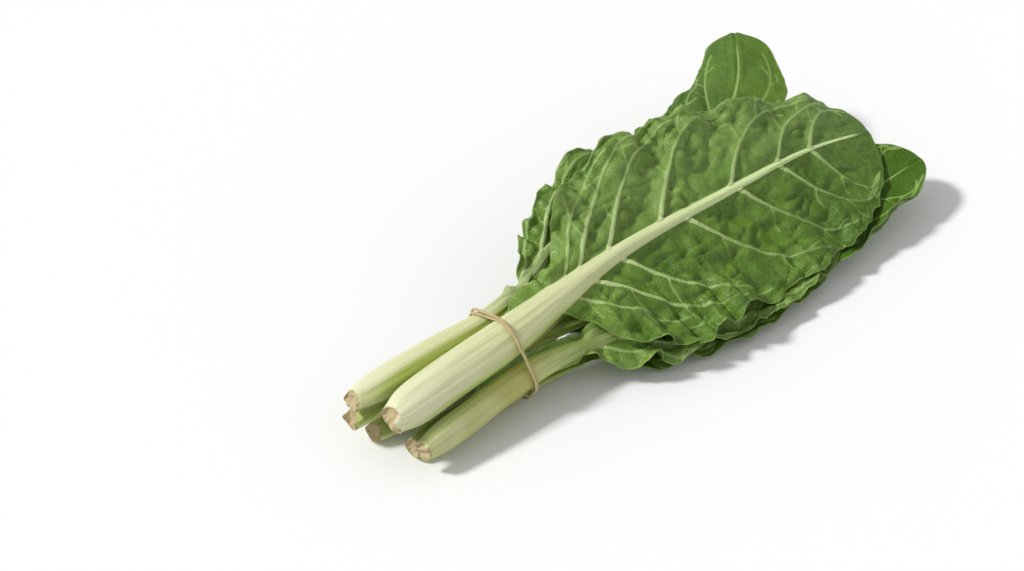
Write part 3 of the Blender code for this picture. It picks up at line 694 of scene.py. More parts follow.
class Surface:
    """A leaf's fine surface: grids of its two faces, and what the finish and the neighbours need to know."""

    def __init__(self, leaf, shift):
        self.leaf = leaf
        blade_rows, petiole_rows, rib_lanes, wing_lanes = leaf.fine
        share = fine_shares(leaf, blade_rows, petiole_rows)
        core = LANE_RIB * np.sin(np.linspace(-1, 1, rib_lanes + 1) * math.pi / 2)
        wing = np.linspace(0, 1, wing_lanes + 1)[1:]
        wing = LANE_RIB + (LANE_EDGE - LANE_RIB) * (wing + np.sin(wing * math.pi / 2)) / 2
        lane = np.concatenate([-wing[::-1], core, wing])
        self.share, self.lane = share, lane
        self.length = spine_of(leaf, [0])[3]
        self.x = np.repeat((share * self.length)[:, None], len(lane), 1)
        self.q = blade_share(leaf, share)[:, None] * np.ones(len(lane))
        left, right = half_widths(leaf, share)
        rib = rib_half_width(leaf, share)
        self.blade = smoothstep(share, leaf.blade_from - 0.01, leaf.blade_from + 0.07)[:, None]
        wide = [self.margin_from(side, half, rib) for side, half in enumerate((left, right))]
        waist = 1 - CUT_WAIST * np.exp(-((share * self.length / WAIST_LENGTH) ** 1.5))
        self.b = across_leaf(lane, rib * waist, wide[0] * waist, wide[1] * waist)
        self.rib, self.stem = (rib * waist)[:, None], rib[:, None]
        self.reach = np.where(self.b >= 0, wide[0][:, None], wide[1][:, None])
        self.edge = np.clip(np.abs(self.b) / self.reach, 0, 1)

        sheet = sheet_of(leaf, share, self.b, left, right, 1 - smoothstep(self.q, 0.9, 0.995))
        sheet[..., :2] += shift
        rises = natural_spline(stations(leaf), settled_heights(leaf, shift), share)
        sheet[..., 2] += natural_spline(SOLID_LANES, rises.T, lane).T
        veins = vein_lines(leaf, self.length)
        self.ridge, tent, self.off_vein, self.thick = vein_fields(veins, self.x, self.b)
        crumple, self.crease = pucker(leaf, self.x, self.b, self.q, self.rib)
        waves = np.where(self.b >= 0, *(frill(leaf, self.x, side, self.edge, self.q) for side in (0, 1)))
        gutter = np.exp(-(((np.abs(self.b) - self.rib - 1.5) / 2.2) ** 2)) * self.blade
        gutter = gutter * (0.8 + 0.6 * noise(self.x / 13, self.b * 0, leaf.seed + 8))
        outward = 1 if leaf.ribs_up else -1
        beside_rib = smoothstep(np.abs(self.b), self.rib * 0.95, self.rib + 5)
        tent_off = TENT * (tent - 0.3) * self.blade * beside_rib
        crumple = crumple * (1 - smoothstep(self.q, 0.94, 0.99))
        off = outward * (crumple * (1 - tent) + tent_off - GUTTER * gutter + self.pleats()) + waves
        self.sheet = rolled(leaf, sheet + normals_of(sheet) * off[..., None], self.q, self.edge)
        self.gone = np.zeros(self.x.shape)

    def margin_from(self, side, half, rib):
        """How far one margin lies from the midrib."""
        leaf, q = self.leaf, self.q[:, 0]
        trims = [trim[1:] for trim in leaf.trims if trim[0] == side]
        trim = sum(by * np.exp(-(((q - at) / spread) ** 2)) for at, spread, by in trims)
        margin = half * (1 + self.blade[:, 0] * (self.outline(side) * smoothstep(half, 4, 20) + trim))
        width, start = leaf.wings[side]
        wing = width * smoothstep(self.x[:, 0], start, start + WING_RISE) * (1 - smoothstep(q, 0.1, 0.3))
        return np.maximum(margin, rib + wing * (1 + 0.25 * noise(self.x[:, 0] / 7, side, leaf.seed + 12)))

    def pleats(self):
        """Height of the small folds of the narrow blades beside the stem."""
        beyond = np.clip((np.abs(self.b) - self.stem) / 5, 0, 1) * (1 - smoothstep(self.q, 0.02, 0.2))
        turn = self.x / 10 + 1.2 * noise(self.x / 14, np.sign(self.b), self.leaf.seed + 13)
        return PLEAT_HEIGHT * beyond * np.sin(2 * math.pi * turn)

    def outline(self, side):
        """How much the margin stands out or in, as a share of the half-width."""
        x, seed = self.share * self.length, self.leaf.seed + 20 * side
        fine = 0.035 * noise(x / 8, side, seed + 1) + 0.012 * noise(x / 3.5, side, seed)
        return 0.045 * noise(x / 19, side, seed) + fine

    def thicknesses(self):
        """How far the upper and the lower face stand from the sheet."""
        leaf = self.leaf
        x = np.clip(np.abs(self.b) / self.rib, 0, 1)
        power = 0.5 + 0.35 * self.blade
        dome = np.maximum(1 - x**2, 0) ** power
        depth = 2 * self.stem * RIB_DEPTH * (1 - 0.5 * leaf.rib_green * self.blade)
        skin = BLADE_THICKNESS / 2 * (1 - 0.35 * smoothstep(self.edge, 0.9, 1.0) * self.blade)
        angle = x * np.sign(self.b)
        wander = 0.5 * noise(self.x / 70, angle * 2, leaf.seed)
        ribs = 0.5 + 0.5 * np.cos(2 * math.pi * (STEM_RIBS * angle + wander))
        ribs = ribs * (1 - 0.75 * self.blade) * smoothstep(dome, 0.0, 0.5)
        swell = STEM_SWELL * (1 + noise(self.x / 28, angle * 1.5, leaf.seed + 9))
        uneven = (STEM_RIB_DEPTH * (1 - ribs) + swell) * smoothstep(dome, 0.1, 0.6)
        outer = skin + depth * OUTER_SHARE * dome - uneven
        channel = 1 - CHANNEL_DEPTH * np.exp(-((x / CHANNEL_WIDTH) ** 2)) * (1 - 0.7 * np.exp(-self.x / 14))
        inner = skin + depth * (1 - OUTER_SHARE) * dome * channel * (1 - 0.45 * self.blade) - 0.1 * dome
        outer = outer + self.ridge * smoothstep(np.abs(self.b), self.rib * 0.6, self.rib * 1.0) * self.blade
        inner = inner - 0.2 * BLADE_THICKNESS * smoothstep(-self.off_vein, -0.8, 0.4) * self.blade
        outer, inner = np.maximum(outer, 0.2), np.maximum(inner, 0.12)
        return (outer, inner) if leaf.ribs_up else (inner, outer)

    def faces(self):
        """The upper and the lower face, neither of them under the floor."""
        sheet = self.sheet.copy()
        sheet[..., 2] += self.gone
        normal = normals_of(sheet)
        upper, lower = self.thicknesses()
        top, bottom = sheet + normal * upper[..., None], sheet - normal * lower[..., None]
        top[..., 2] = np.maximum(top[..., 2], floor_height + BLADE_THICKNESS)
        bottom[..., 2] = np.maximum(bottom[..., 2], floor_height + FLOOR_GAP)
        return top, bottom


def fine_shares(leaf, blade_rows, petiole_rows):
    """Shares for the fine rows, evenly spaced, but closer and closer together where the tip rounds off."""
    start = leaf.blade_from
    turn_from = 0.8
    turning = round(blade_rows * 0.282)
    even = np.linspace(0, turn_from, blade_rows - turning, endpoint=False)
    turn = np.linspace(0, 0.985, turning) * math.pi / 2
    q = np.concatenate([even, turn_from + (1 - turn_from) * np.sin(turn)])
    return np.concatenate([np.linspace(0, start, petiole_rows, endpoint=False), start + (1 - start) * q])


# ---- keeping the leaves apart ----


def quads(a, b, c, d):
    """Faces from four arrays of corner numbers."""
    return np.stack([a, b, c, d], -1).reshape(-1, 4).tolist()


def face_tree(points):
    """A face, ready for ray casts."""
    rows, cols = points.shape[:2]
    index = np.arange(rows * cols).reshape(rows, cols)
    faces = quads(index[:-1, :-1], index[1:, :-1], index[1:, 1:], index[:-1, 1:])
    return BVHTree.FromPolygons([Vector(p) for p in points.reshape(-1, 3)], faces)


def height_at(tree, point, downwards):
    """Height of a face above or below a point, or None where the face isn't."""
    start = FAR if downwards else -FAR
    hit = tree.ray_cast(Vector((point[0], point[1], start)), Vector((0, 0, -1 if downwards else 1)))[0]
    return None if hit is None else hit.z


def keep_apart(surfaces):
    """Moves the fine blades a little up or down, off each other; the top leaf hardly moves."""
    last = len(surfaces) - 1
    for turn in range(APART_ROUNDS + FINE_ROUNDS):
        skip, gap = (COARSE, CLEAR_GAP) if turn < APART_ROUNDS else (1, FINE_GAP)
        faces = [[face[::skip, ::skip] for face in surface.faces()] for surface in surfaces]
        trees = [[face_tree(face) for face in pair] for pair in faces]
        for i, surface in enumerate(surfaces):
            top, bottom = faces[i]
            move = np.zeros(top.shape[:2])
            start = surface.leaf.blade_from
            loose = smoothstep(surface.share, start - 0.05, start + 0.05)[:, None]
            loose = np.maximum(loose, smoothstep(np.abs(surface.b) - surface.stem, 1.0, 4.0))[::skip, ::skip]
            for at in np.ndindex(move.shape):
                if loose[at] == 0:
                    continue
                up = floor_height - bottom[at][2]
                down = 0.0
                for under in range(i):
                    height = height_at(trees[under][0], bottom[at], True)
                    if height is not None:
                        up = max(up, (height + gap - bottom[at][2]) * (TOP_LEAF_GIVE if i == last else GIVE))
                for over in range(i + 1, last + 1):
                    height = height_at(trees[over][1], top[at], False)
                    if height is not None:
                        down = max(down, (top[at][2] + gap - height) * (1.0 if over == last else GIVE))
                move[at] = (max(up, 0) - max(down, 0)) * loose[at]
            if skip > 1:
                rows = natural_spline(surface.share[::skip], spread(move), surface.share)
                surface.gone += natural_spline(surface.lane[::skip], rows.T, surface.lane).T
            else:
                surface.gone += spread(move)


def spread(field):
    """A field of moves, smoothed so that the blade bends and doesn't kink."""
    wide = np.pad(field, 1, mode="edge")
    near = (wide[:-2, 1:-1] + wide[2:, 1:-1] + wide[1:-1, :-2] + wide[1:-1, 2:]) / 4
    return 0.6 * field + 0.5 * near


# ---- meshes ----


def add_mesh(name, points, faces, attributes, places, finish):
    """A smooth mesh in metres, with its attributes and its map for baking."""
    mesh = bpy.data.meshes.new(name)
    mesh.from_pydata((points * MM).tolist(), [], faces)
    mesh.shade_smooth()
    for key, values in attributes.items():
        vector = values.ndim == 2
        layer = mesh.attributes.new(key, "FLOAT_VECTOR" if vector else "FLOAT", "POINT")
        layer.data.foreach_set("vector" if vector else "value", values.astype(np.float32).ravel())
    corners = np.empty(len(mesh.loops), int)
    mesh.loops.foreach_get("vertex_index", corners)
    layer = mesh.uv_layers.new(name="OFBake")
    layer.data.foreach_set("uv", places(mesh, corners).astype(np.float32).ravel())
    mesh.materials.append(finish)
    made = bpy.data.objects.new(name, mesh)
    bpy.context.scene.collection.objects.link(made)
    return made


def cut_end(surface, top, bottom):
    """Points of the rough cut end, in rings from the upper edge to the lower one, without its two sides."""
    first, last = top[0, 1:-1], bottom[0, 1:-1]
    seed = surface.leaf.seed + 30
    way = np.linspace(0, 1, CUT_RINGS + 2)[1:-1, None, None]
    ring = first + (last - first) * way
    rough = CUT_ROUGHNESS * noise(ring[..., 1] / 2.2, ring[..., 2] / 2.2, seed)
    rough = rough + 0.5 * noise(ring[..., 1], ring[..., 2], seed + 1)
    hollow = np.sin(way[..., 0] * math.pi) * CUT_HOLLOW
    ring[..., 0] += hollow + rough
    return ring


def leaf_piece(surface):
    """The closed fine mesh of a leaf, with its finish."""
    leaf = surface.leaf
    top, bottom = surface.faces()
    rows, cols = top.shape[:2]
    near = np.exp(-surface.x / 10)
    top[..., 0] += CUT_SLANT * near * (top[..., 2] - bottom[..., 2])
    lip = leaf.lip * np.exp(-(((surface.b + LIP_AT) / LIP_HALF_WIDTH) ** 2)) * np.exp(-surface.x / 2.2)
    top[..., 0] -= lip
    top[..., 2] += LIP_RISE * lip
    rough = CUT_ROUGHNESS * noise(top[0, :, 1] / 3, top[0, :, 2] / 3, leaf.seed + 31)
    top[0, :, 0] += rough
    bottom[0, :, 0] += rough
    ring = cut_end(surface, top, bottom)
    size = rows * cols
    points = np.concatenate([top.reshape(-1, 3), bottom.reshape(-1, 3), ring.reshape(-1, 3)])
    up = np.arange(size).reshape(rows, cols)
    down = up + size
    between = 2 * size + np.arange(ring[..., 0].size).reshape(ring.shape[:2])
    cap = np.concatenate([up[:1, 1:-1], between, down[:1, 1:-1]])

    faces = quads(up[:-1, :-1], up[1:, :-1], up[1:, 1:], up[:-1, 1:])
    faces += quads(up[:-1, 0], down[:-1, 0], down[1:, 0], up[1:, 0])
    faces += quads(up[:-1, -1], up[1:, -1], down[1:, -1], down[:-1, -1])
    faces += quads(up[-1, :-1], down[-1, :-1], down[-1, 1:], up[-1, 1:])
    upper_count = len(faces)
    faces += quads(down[:-1, :-1], down[:-1, 1:], down[1:, 1:], down[1:, :-1])
    lower_count = len(faces)
    faces += quads(cap[:-1, :-1], cap[:-1, 1:], cap[1:, 1:], cap[1:, :-1])
    faces.append([up[0, 0], *cap[:, 0], down[0, 0]])
    faces.append([down[0, -1], *cap[::-1, -1], up[0, -1]])

    def both(grid, on_cap=0.0):
        grid = np.broadcast_to(grid, (rows, cols)).ravel()
        return np.concatenate([grid, grid, np.full(ring[..., 0].size, on_cap)])

    near_cut = np.exp(-surface.x / 2.5) * (0.75 + 0.5 * noise(surface.b / 3, surface.x / 3, leaf.seed + 5))
    near_cut = near_cut * (1 - 0.9 * np.clip(lip / 2, 0, 1))
    inner = np.zeros(len(points))
    inner[size : 2 * size] = 1
    if not leaf.ribs_up:
        inner[: 2 * size] = 1 - inner[: 2 * size]
    attributes = {
        "rib": both(np.clip(surface.b / surface.rib, -3, 3)),
        "off_vein": both(surface.off_vein + 3 * (1 - surface.blade)),
        "thick": both(surface.thick),
        "crease": both(surface.crease),
        "margin": both((1 - surface.edge) * surface.reach),
        "blade": both(surface.blade),
        "along": both(surface.share[:, None]),
        "cut": both(np.clip(near_cut, 0, 1), 1.0),
        "inner": inner,
        "flat": np.stack([both(surface.x), both(surface.b), inner * 200], 1),
    }
    wide = np.abs(surface.b).max() * 2

    def places(mesh, corners):
        """Upper face, lower face and cut end, each in its own part of the square."""
        u = both(surface.x / surface.length * 0.94 + 0.03)
        v = both(surface.b / wide)
        of_face = np.empty(len(mesh.polygons), int)
        mesh.polygons.foreach_get("loop_total", of_face)
        face = np.repeat(np.arange(len(of_face)), of_face)
        uv = np.stack([u[corners], v[corners] * 0.44 + 0.75], 1)
        lower = (face >= upper_count) & (face < lower_count)
        uv[lower, 1] -= 0.5
        sides = (face < upper_count) & (corners >= size)
        uv[sides, 1] += np.sign(v[corners[sides]]) * 0.01
        end = face >= lower_count
        place = points[corners[end]]
        middle = ring.reshape(-1, 3).mean(0)
        uv[end] = 0.5 + (place[:, 1:] - middle[1:]) * (0.02, 0.0012)
        return uv

    return add_mesh(leaf.name + "_fine", points, faces, attributes, places, leaf_finish(leaf))


# ---- the rubber band ----


def hull(points):
    """The convex outline of points in a plane, anticlockwise."""
    points = sorted(set(map(tuple, np.round(points, 3))))

    def half(sequence):
        chain = []
        for p in sequence:
            while len(chain) > 1:
                (ax, ay), (bx, by) = chain[-2:]
                if (bx - ax) * (p[1] - ay) - (by - ay) * (p[0] - ax) > 0:
                    break
                chain.pop()
            chain.append(p)
        return chain[:-1]

    return np.array(half(points) + half(points[::-1]))


def band_outline(surfaces, centre):
    """The taut line round all the petioles under the band, as y and z, evenly spaced and closed."""
    near = []
    for surface in surfaces:
        for face in surface.faces():
            rows = np.abs(face[:, :, 0].mean(1) - centre[0]) < BAND_HALF_RUN
            near.append(face[rows][..., 1:].reshape(-1, 2))
    corners = hull(np.concatenate(near))
    angles = np.linspace(0, 2 * math.pi, BAND_BEARINGS, endpoint=False)
    way = np.stack([np.cos(angles), np.sin(angles)], 1)
    line = corners[(way @ corners.T).argmax(1)] + way * (BAND_CLEARANCE + BAND_THICKNESS / 2)
    run = np.concatenate([[0], np.cumsum(np.linalg.norm(np.diff(line, axis=0, append=line[:1]), axis=1))])
    closed = np.concatenate([line, line[:1]])
    even = np.linspace(0, run[-1], BAND_STEPS // 2, endpoint=False)
    outline = np.stack([np.interp(even, run, closed[:, k]) for k in (0, 1)], 1)
    bearing = np.arctan2(outline[:, 1] - centre[2], outline[:, 0] - centre[1])
    start = int(np.abs(np.mod(bearing - BAND_CROSSING, 2 * math.pi) - math.pi).argmin())
    return np.roll(outline, -start, axis=0)


def band_piece(surfaces, shift):
    """The rubber band, along a line that goes round twice and crosses itself once, opposite its start."""
    centre = np.array([BAND_X + shift[0], BAND_CENTRE[0] + shift[1], BAND_CENTRE[1]])
    outline = band_outline(surfaces, centre)
    outward = np.roll(outline, -1, axis=0) - np.roll(outline, 1, axis=0)
    outward = np.stack([outward[:, 1], -outward[:, 0]], 1)
    outward /= np.linalg.norm(outward, axis=1)[:, None]
    turn = np.linspace(0, 4 * math.pi, BAND_STEPS, endpoint=False)
    twice, out = np.tile(outline, (2, 1)), np.tile(outward, (2, 1))
    lift = (BAND_THICKNESS + BAND_LIFT) * smoothstep((1 + 2.2 * np.sin(turn / 2)) / 2)
    line = twice + out * lift[:, None]
    sway = 0.25 * np.sin(3 * turn / 2 + 1) + 0.15 * np.sin(7 * turn / 2)
    x = centre[0] + (BAND_SPLIT + sway) * np.cos(turn / 2) - BAND_LEAN * (line[:, 1] - centre[2])
    angle = np.linspace(0, 2 * math.pi, BAND_SIDES, endpoint=False)
    square = 1 / np.maximum(np.abs(np.cos(angle)) ** 4 + np.abs(np.sin(angle)) ** 4, 0.5) ** 0.25
    wide = (BAND_WIDTH + 0.12 * np.sin(5 * turn / 2))[:, None] / 2 * np.cos(angle) * square
    thick = np.full((BAND_STEPS, 1), BAND_THICKNESS / 2) * np.sin(angle) * square
    section = [x[:, None] + wide, line[:, :1] + out[:, :1] * thick, line[:, 1:] + out[:, 1:] * thick]
    points = np.stack(section, 2).reshape(-1, 3)
    index = np.arange(len(points)).reshape(BAND_STEPS, BAND_SIDES)
    ahead, side = np.roll(index, -1, axis=0), np.roll(index, -1, axis=1)
    faces = quads(index, side, np.roll(ahead, -1, axis=1), ahead)
    steps, sides = np.divmod(np.arange(len(points)), BAND_SIDES)
    run = steps * BAND_LENGTH / BAND_STEPS
    attributes = {"flat": np.stack([run, sides * BAND_GIRTH / BAND_SIDES, 0 * run], 1)}

    def places(mesh, corners):
        """The band's length in strips, one above the other."""
        step, way = corners // BAND_SIDES, corners % BAND_SIDES
        face = np.repeat(np.arange(len(faces)), 4)
        step = np.where((face // BAND_SIDES == BAND_STEPS - 1) & (step == 0), BAND_STEPS, step)
        way = np.where((face % BAND_SIDES == BAND_SIDES - 1) & (way == 0), BAND_SIDES, way)
        strip = np.minimum(face // BAND_SIDES * BAND_STRIPS // BAND_STEPS, BAND_STRIPS - 1)
        u = step / BAND_STEPS * BAND_STRIPS - strip
        return np.stack([0.02 + 0.96 * u, (strip + 0.1 + 0.8 * way / BAND_SIDES) / BAND_STRIPS], 1)

    return add_mesh("rubber_band_fine", points, faces, attributes, places, band_finish())


# ---- finishes ----


class Graph:
    """A material's nodes, made one call at a time."""

    def __init__(self, name):
        self.material = bpy.data.materials.new(name)
        self.material.use_nodes = True
        self.nodes, self.links = self.material.node_tree.nodes, self.material.node_tree.links
        self.shader = self.nodes["Principled BSDF"]

    def node(self, kind, inputs=(), **settings):
        made = self.nodes.new(kind)
        for key, value in settings.items():
            setattr(made, key, value)
        for key, value in dict(inputs).items():
            self.feed(made.inputs[key], value)
        return made

    def set(self, **inputs):
        """Sets or links the shader's inputs, whose names have _ for each space here."""
        for key, value in inputs.items():
            self.feed(self.shader.inputs[key.replace("_", " ")], value)

    def feed(self, socket, value):
        """Links a socket, or sets a constant on it."""
        if isinstance(value, bpy.types.NodeSocket):
            self.links.new(value, socket)
        elif isinstance(value, tuple) and len(value) == 3 and len(socket.default_value) == 4:
            socket.default_value = (*value, 1)
        else:
            socket.default_value = value

    def number(self, name):
        return self.node("ShaderNodeAttribute", attribute_name=name).outputs["Fac"]

    def place(self, name):
        return self.node("ShaderNodeAttribute", attribute_name=name).outputs["Vector"]

    def math(self, operation, *values):
        return self.node("ShaderNodeMath", dict(enumerate(values)), operation=operation).outputs[0]

    def times(self, first, second):
        return self.math("MULTIPLY", first, second)

    def step(self, value, low, high, start=0.0, end=1.0):
        """Goes smoothly from start to end while the value goes from low to high."""
        inputs = {"Value": value, "From Min": low, "From Max": high, "To Min": start, "To Max": end}
        return self.node("ShaderNodeMapRange", inputs, interpolation_type="SMOOTHSTEP").outputs["Result"]

    def mix(self, share, first, second):
        """The second colour by share, over the first."""
        made = self.node("ShaderNodeMix", data_type="RGBA")
        for socket, value in zip((made.inputs[0], made.inputs[6], made.inputs[7]), (share, first, second)):
            self.feed(socket, value)
        return made.outputs[2]

    def stretched(self, place, scale):
        return self.node("ShaderNodeMapping", {"Vector": place, "Scale": scale}).outputs[0]

    def noise(self, place, scale, detail=3.0, roughness=0.5):
        inputs = {"Vector": place, "Scale": scale, "Detail": detail, "Roughness": roughness}
        return self.node("ShaderNodeTexNoise", inputs).outputs["Fac"]

    def cells(self, place, scale):
        inputs = {"Vector": place, "Scale": scale}
        return self.node("ShaderNodeTexVoronoi", inputs, feature="DISTANCE_TO_EDGE").outputs["Distance"]

    def bump(self, height, strength, distance, normal=None):
        inputs = {"Height": height, "Strength": strength, "Distance": distance}
        made = self.node("ShaderNodeBump", inputs)
        if normal is not None:
            self.feed(made.inputs["Normal"], normal)
        return made.outputs["Normal"]


def leaf_finish(leaf):
    """Blade, veins, stem and cut end of a leaf, told apart by what its mesh says of each place."""
    g = Graph(leaf.name + "_finish")
    flat = g.place("flat")
    rib, off_vein, crease, thick, margin = map(g.number, ("rib", "off_vein", "crease", "thick", "margin"))
    blade, along, cut, inner = map(g.number, ("blade", "along", "cut", "inner"))
    off_rib = g.math("ABSOLUTE", rib)
    wide = g.noise(flat, 0.022, 2.0)
    fine = g.noise(flat, 0.16, 4.0, 0.6)
    speck = g.noise(flat, 1.1, 2.0)

    # The blade: a greyer outer side and a deeper inner one, with a pale net of small veins and a pale margin;
    # painted light makes one side of a blade lighter and greyer, and painted shade darkens its creases.
    patch = g.step(wide, 0.3, 0.7)
    grey, bright, deep = g.mix(patch, *OUTER_GREEN), g.mix(patch, *FRESH_GREEN), g.mix(patch, *INNER_GREEN)
    across = g.node("ShaderNodeSeparateXYZ", {"Vector": flat}).outputs["Y"]
    # Painted light: one side of the blade lighter and greyer, as if lit and sheened, over the grey bloom of
    # its outer side.
    bloom_and_painted_light = g.step(across, -25.0, 25.0, leaf.bloom_and_painted_light[1], leaf.bloom_and_painted_light[0])
    green = g.mix(inner, g.mix(bloom_and_painted_light, bright, grey), g.mix(bloom_and_painted_light, bright, deep))
    green = g.mix(leaf.shade, green, DEEP_GREEN)
    green = g.mix(g.step(fine, 0.35, 0.75, 0.0, 0.45), green, SHADE_AND_DARK_GREEN)
    shaded = g.times(g.step(along, 0.65, 0.95, 0.0, 0.3), g.step(inner, 0.0, 1.0, 1.0, 0.0))
    green = g.mix(shaded, green, SHADE_AND_DARK_GREEN)
    # Painted shade: darker in the creases between the puckers and in the troughs of the wrinkles.
    green = g.mix(g.times(crease, 0.6), green, SHADE_AND_DARK_GREEN)
    net = g.step(g.cells(g.stretched(flat, (1.0, 1.25, 1.0)), 0.17), 0.02, 0.09, 1.0, 0.0)
    net = g.times(net, g.step(fine, 0.3, 0.7, 0.30, 0.05))
    net = g.times(net, g.step(inner, 0.0, 1.0, 1.0, 0.3))
    green = g.mix(net, green, SMALL_VEIN)
    green = g.mix(g.step(g.cells(flat, 0.75), 0.0, 0.10, 0.16, 0.0), green, SMALL_VEIN)
    start = leaf.blade_from
    near_base = g.step(along, start + 0.02, start + 0.16, 0.55, 0.0)
    green = g.mix(near_base, green, YOUNG_GREEN)
    pleat = g.step(g.noise(g.stretched(flat, (0.06, 1.0, 1.0)), 0.8, 2.0), 0.5, 0.62, 0.0, 0.9)
    green = g.mix(g.times(near_base, pleat), green, SMALL_VEIN)
    green = g.mix(g.step(margin, 0.0, 1.3, 0.75, 0.0), green, MARGIN)

    # Veins and midrib, from cream at the base to green at the tip.
    far = g.step(along, start, 0.95)
    vein_colour = g.mix(g.times(thick, g.step(far, 0.0, 1.0, 1.0, 0.4)), VEIN[1], VEIN[0])
    vein_colour = g.mix(g.times(inner, 0.55), vein_colour, SMALL_VEIN)
    surface = g.mix(g.step(off_vein, -0.25, 0.45, 1.0, 0.0), green, vein_colour)
    streak = g.noise(g.stretched(flat, (0.035, 1.0, 1.0)), 0.25, 1.5, 0.5)
    stem = g.mix(far, *STEM)
    banded = g.times(g.step(streak, 0.45, 0.65, 0.0, 0.4), g.step(blade, 0.0, 1.0, 1.0, 0.4))
    stem = g.mix(banded, stem, STEM_SHADE)
    stem = g.mix(g.step(along, 0.0, 0.22, 0.6, 0.0), stem, STEM_WHITE)
    wavering = g.math("ADD", rib, g.times(g.math("SUBTRACT", streak, 0.5), 0.9))
    # The flanks: the stem's own yellow-green, deepened on one side as painted shade.
    for sign, (strength, flank_from) in zip((1, -1), leaf.flanks_green_and_shade):
        flank_green_and_shade = g.step(wavering, sign * flank_from, sign * (flank_from + 0.5), 0.0, strength)
        flank_green_and_shade = g.times(flank_green_and_shade, g.step(along, 0.0, 0.12, 0.45, 1.0))
        flank_green_and_shade = g.times(flank_green_and_shade, g.step(blade, 0.0, 1.0, 1.0, 0.2))
        stem = g.mix(flank_green_and_shade, stem, STEM_FLANK_GREEN_AND_SHADE)
    lines = g.noise(g.stretched(flat, (0.03, 1.0, 1.0)), 1.1, 2.0, 0.5)
    stem = g.mix(g.step(lines, 0.5, 0.7, 0.0, 0.12), stem, STEM_GREEN)
    stem = g.mix(g.step(wide, 0.35, 0.7, 0.0, leaf.ochre), stem, STEM_OCHRE)
    stem = g.mix(g.times(inner, g.step(along, 0.0, 0.05, 0.3, 0.85)), stem, STEM_INSIDE)
    stem = g.mix(leaf.stem_green, stem, STEM_GREEN)
    veined = g.step(lines, 0.4, 0.65, 0.5, 1.0)
    veined = g.times(veined, g.step(along, start - 0.07, start + 0.04, 0.0, leaf.rib_green))
    stem = g.mix(veined, stem, RIB_GREEN)
    stem = g.mix(g.times(inner, g.step(along, 0.5, 0.85, 0.0, 0.85)), stem, VEIN[1])
    on_rib = g.times(g.step(off_rib, 0.93, 1.07, 1.0, 0.0), g.step(along, 0.955, 0.985, 1.0, 0.0))
    surface = g.mix(on_rib, surface, stem)

    # The cut end: dried, from cream to tan, with brown flecks.
    cut = g.step(cut, 0.3, 0.8)
    fleck = g.noise(flat, 0.45, 4.0, 0.65)
    dried = g.mix(g.step(fleck, 0.35, 0.65), CUT_TAN, CUT_CREAM)
    dried = g.mix(g.step(speck, 0.6, 0.75, 0.0, 0.6), dried, CUT_BROWN)
    surface = g.mix(cut, surface, dried)

    dull = g.mix(inner, (OUTER_DULLNESS,) * 3, (INNER_DULLNESS,) * 3)
    dull = g.mix(cut, g.mix(on_rib, dull, (STEM_DULLNESS,) * 3), (CUT_DULLNESS,) * 3)
    dull = g.math("ADD", dull, g.step(fine, 0.2, 0.8, -0.06, 0.08))

    grain = g.math("ADD", g.step(g.cells(flat, 0.75), 0.0, 0.35, 0.0, 0.35), g.times(fine, 0.9))
    ribbed = g.math("ADD", g.times(streak, 1.2), g.times(lines, 0.4))
    height = g.mix(on_rib, grain, ribbed)
    height = g.mix(cut, height, fleck)
    normal = g.bump(speck, 0.25, 0.0003, g.bump(height, 0.7, 0.0011))

    g.set(Base_Color=surface, Roughness=dull, Normal=normal, Specular_IOR_Level=0.4 - 0.25 * leaf.shade)
    g.set(Subsurface_Weight=0.08, Subsurface_Radius=(1.0, 0.9, 0.3), Subsurface_Scale=0.0015)
    return g.material


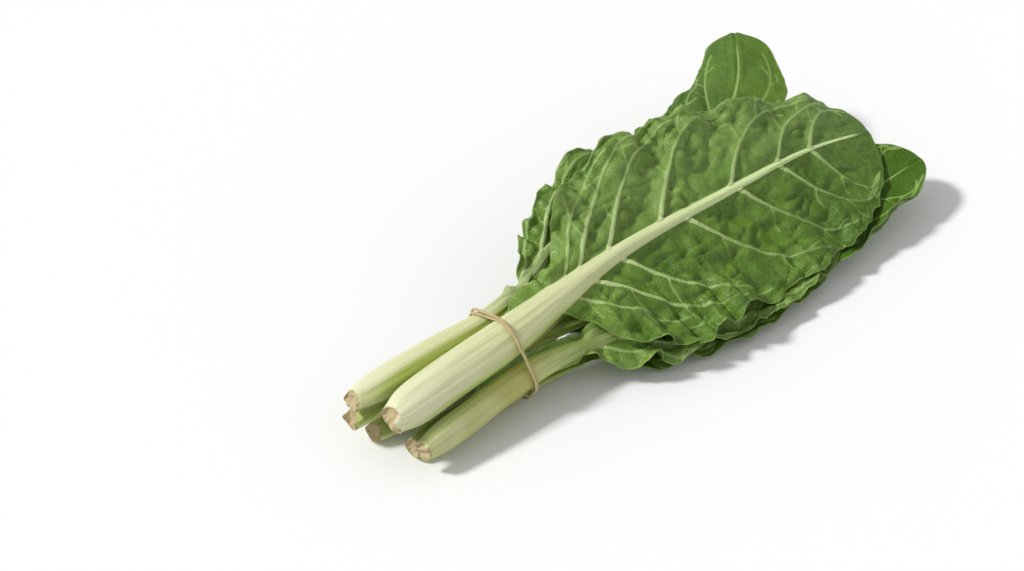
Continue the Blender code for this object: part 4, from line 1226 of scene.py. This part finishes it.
def band_finish():
    """Matte tan rubber with faint streaks along it."""
    g = Graph("rubber_band_finish")
    flat = g.place("flat")
    streak = g.noise(g.stretched(flat, (0.06, 1.6, 1.0)), 1.0, 3.0)
    cloud = g.noise(flat, 0.12, 2.0)
    colour = g.mix(g.step(streak, 0.3, 0.7), BAND_COLOUR[0], BAND_COLOUR[1])
    colour = g.mix(g.step(cloud, 0.4, 0.75, 0.0, 0.5), colour, BAND_COLOUR[2])
    dull = g.step(streak, 0.2, 0.8, 0.48, 0.62)
    g.set(Base_Color=colour, Roughness=dull, Normal=g.bump(streak, 0.4, 0.0002))
    return g.material


# ---- floor, light and camera ----


def add_floor():
    bpy.ops.mesh.primitive_plane_add(size=FLOOR_SIZE, location=(0, 0, cad_bounds[0][2]))
    floor = bpy.context.object
    floor.name = "floor"
    g = Graph("floor_finish")
    g.set(Base_Color=(FLOOR_GREY,) * 3, Roughness=0.9, Specular_IOR_Level=0.1)
    floor.data.materials.append(g.material)


def hang(name, data, azimuth, elevation, distance):
    """Puts a light or the camera at a distance from TARGET, looking at it.

    Azimuth 0 stands on the -Y side, and -90 on the -X side.
    """
    a, e = math.radians(azimuth), math.radians(elevation)
    back = Vector((math.sin(a) * math.cos(e), -math.cos(a) * math.cos(e), math.sin(e)))
    made = bpy.data.objects.new(name, data)
    made.location = Vector(TARGET) + back * distance
    made.rotation_euler = back.to_track_quat("Z", "Y").to_euler()
    bpy.context.scene.collection.objects.link(made)
    return made


def set_stage():
    add_floor()
    world = bpy.data.worlds.new("studio")
    world.use_nodes = True
    background = world.node_tree.nodes["Background"]
    background.inputs["Color"].default_value = (1, 1, 1, 1)
    background.inputs["Strength"].default_value = WORLD_LIGHT
    bpy.context.scene.world = world
    for name, azimuth, elevation, spread_angle, power in LIGHTS:
        sun = bpy.data.lights.new(name, "SUN")
        sun.angle, sun.energy = math.radians(spread_angle), power
        hang(name, sun, azimuth, elevation, 1)
    lens = bpy.data.cameras.new("camera")
    lens.lens, lens.sensor_width = CAMERA_LENS, CAMERA_SENSOR
    bpy.context.scene.camera = hang("camera", lens, CAMERA_AZIMUTH, CAMERA_ELEVATION, CAMERA_DISTANCE)
    bpy.context.scene.view_settings.view_transform = "Standard"


def main():
    shift = sideways_shift()
    surfaces = [Surface(leaf, shift) for leaf in LEAVES]
    keep_apart(surfaces)
    for surface in surfaces:
        name = surface.leaf.name
        piece = leaf_piece(surface)
        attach(piece, "root")
        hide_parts(name)
    band = band_piece(surfaces, shift)
    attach(band, "root")
    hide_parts("rubber_band")
    set_stage()


main()
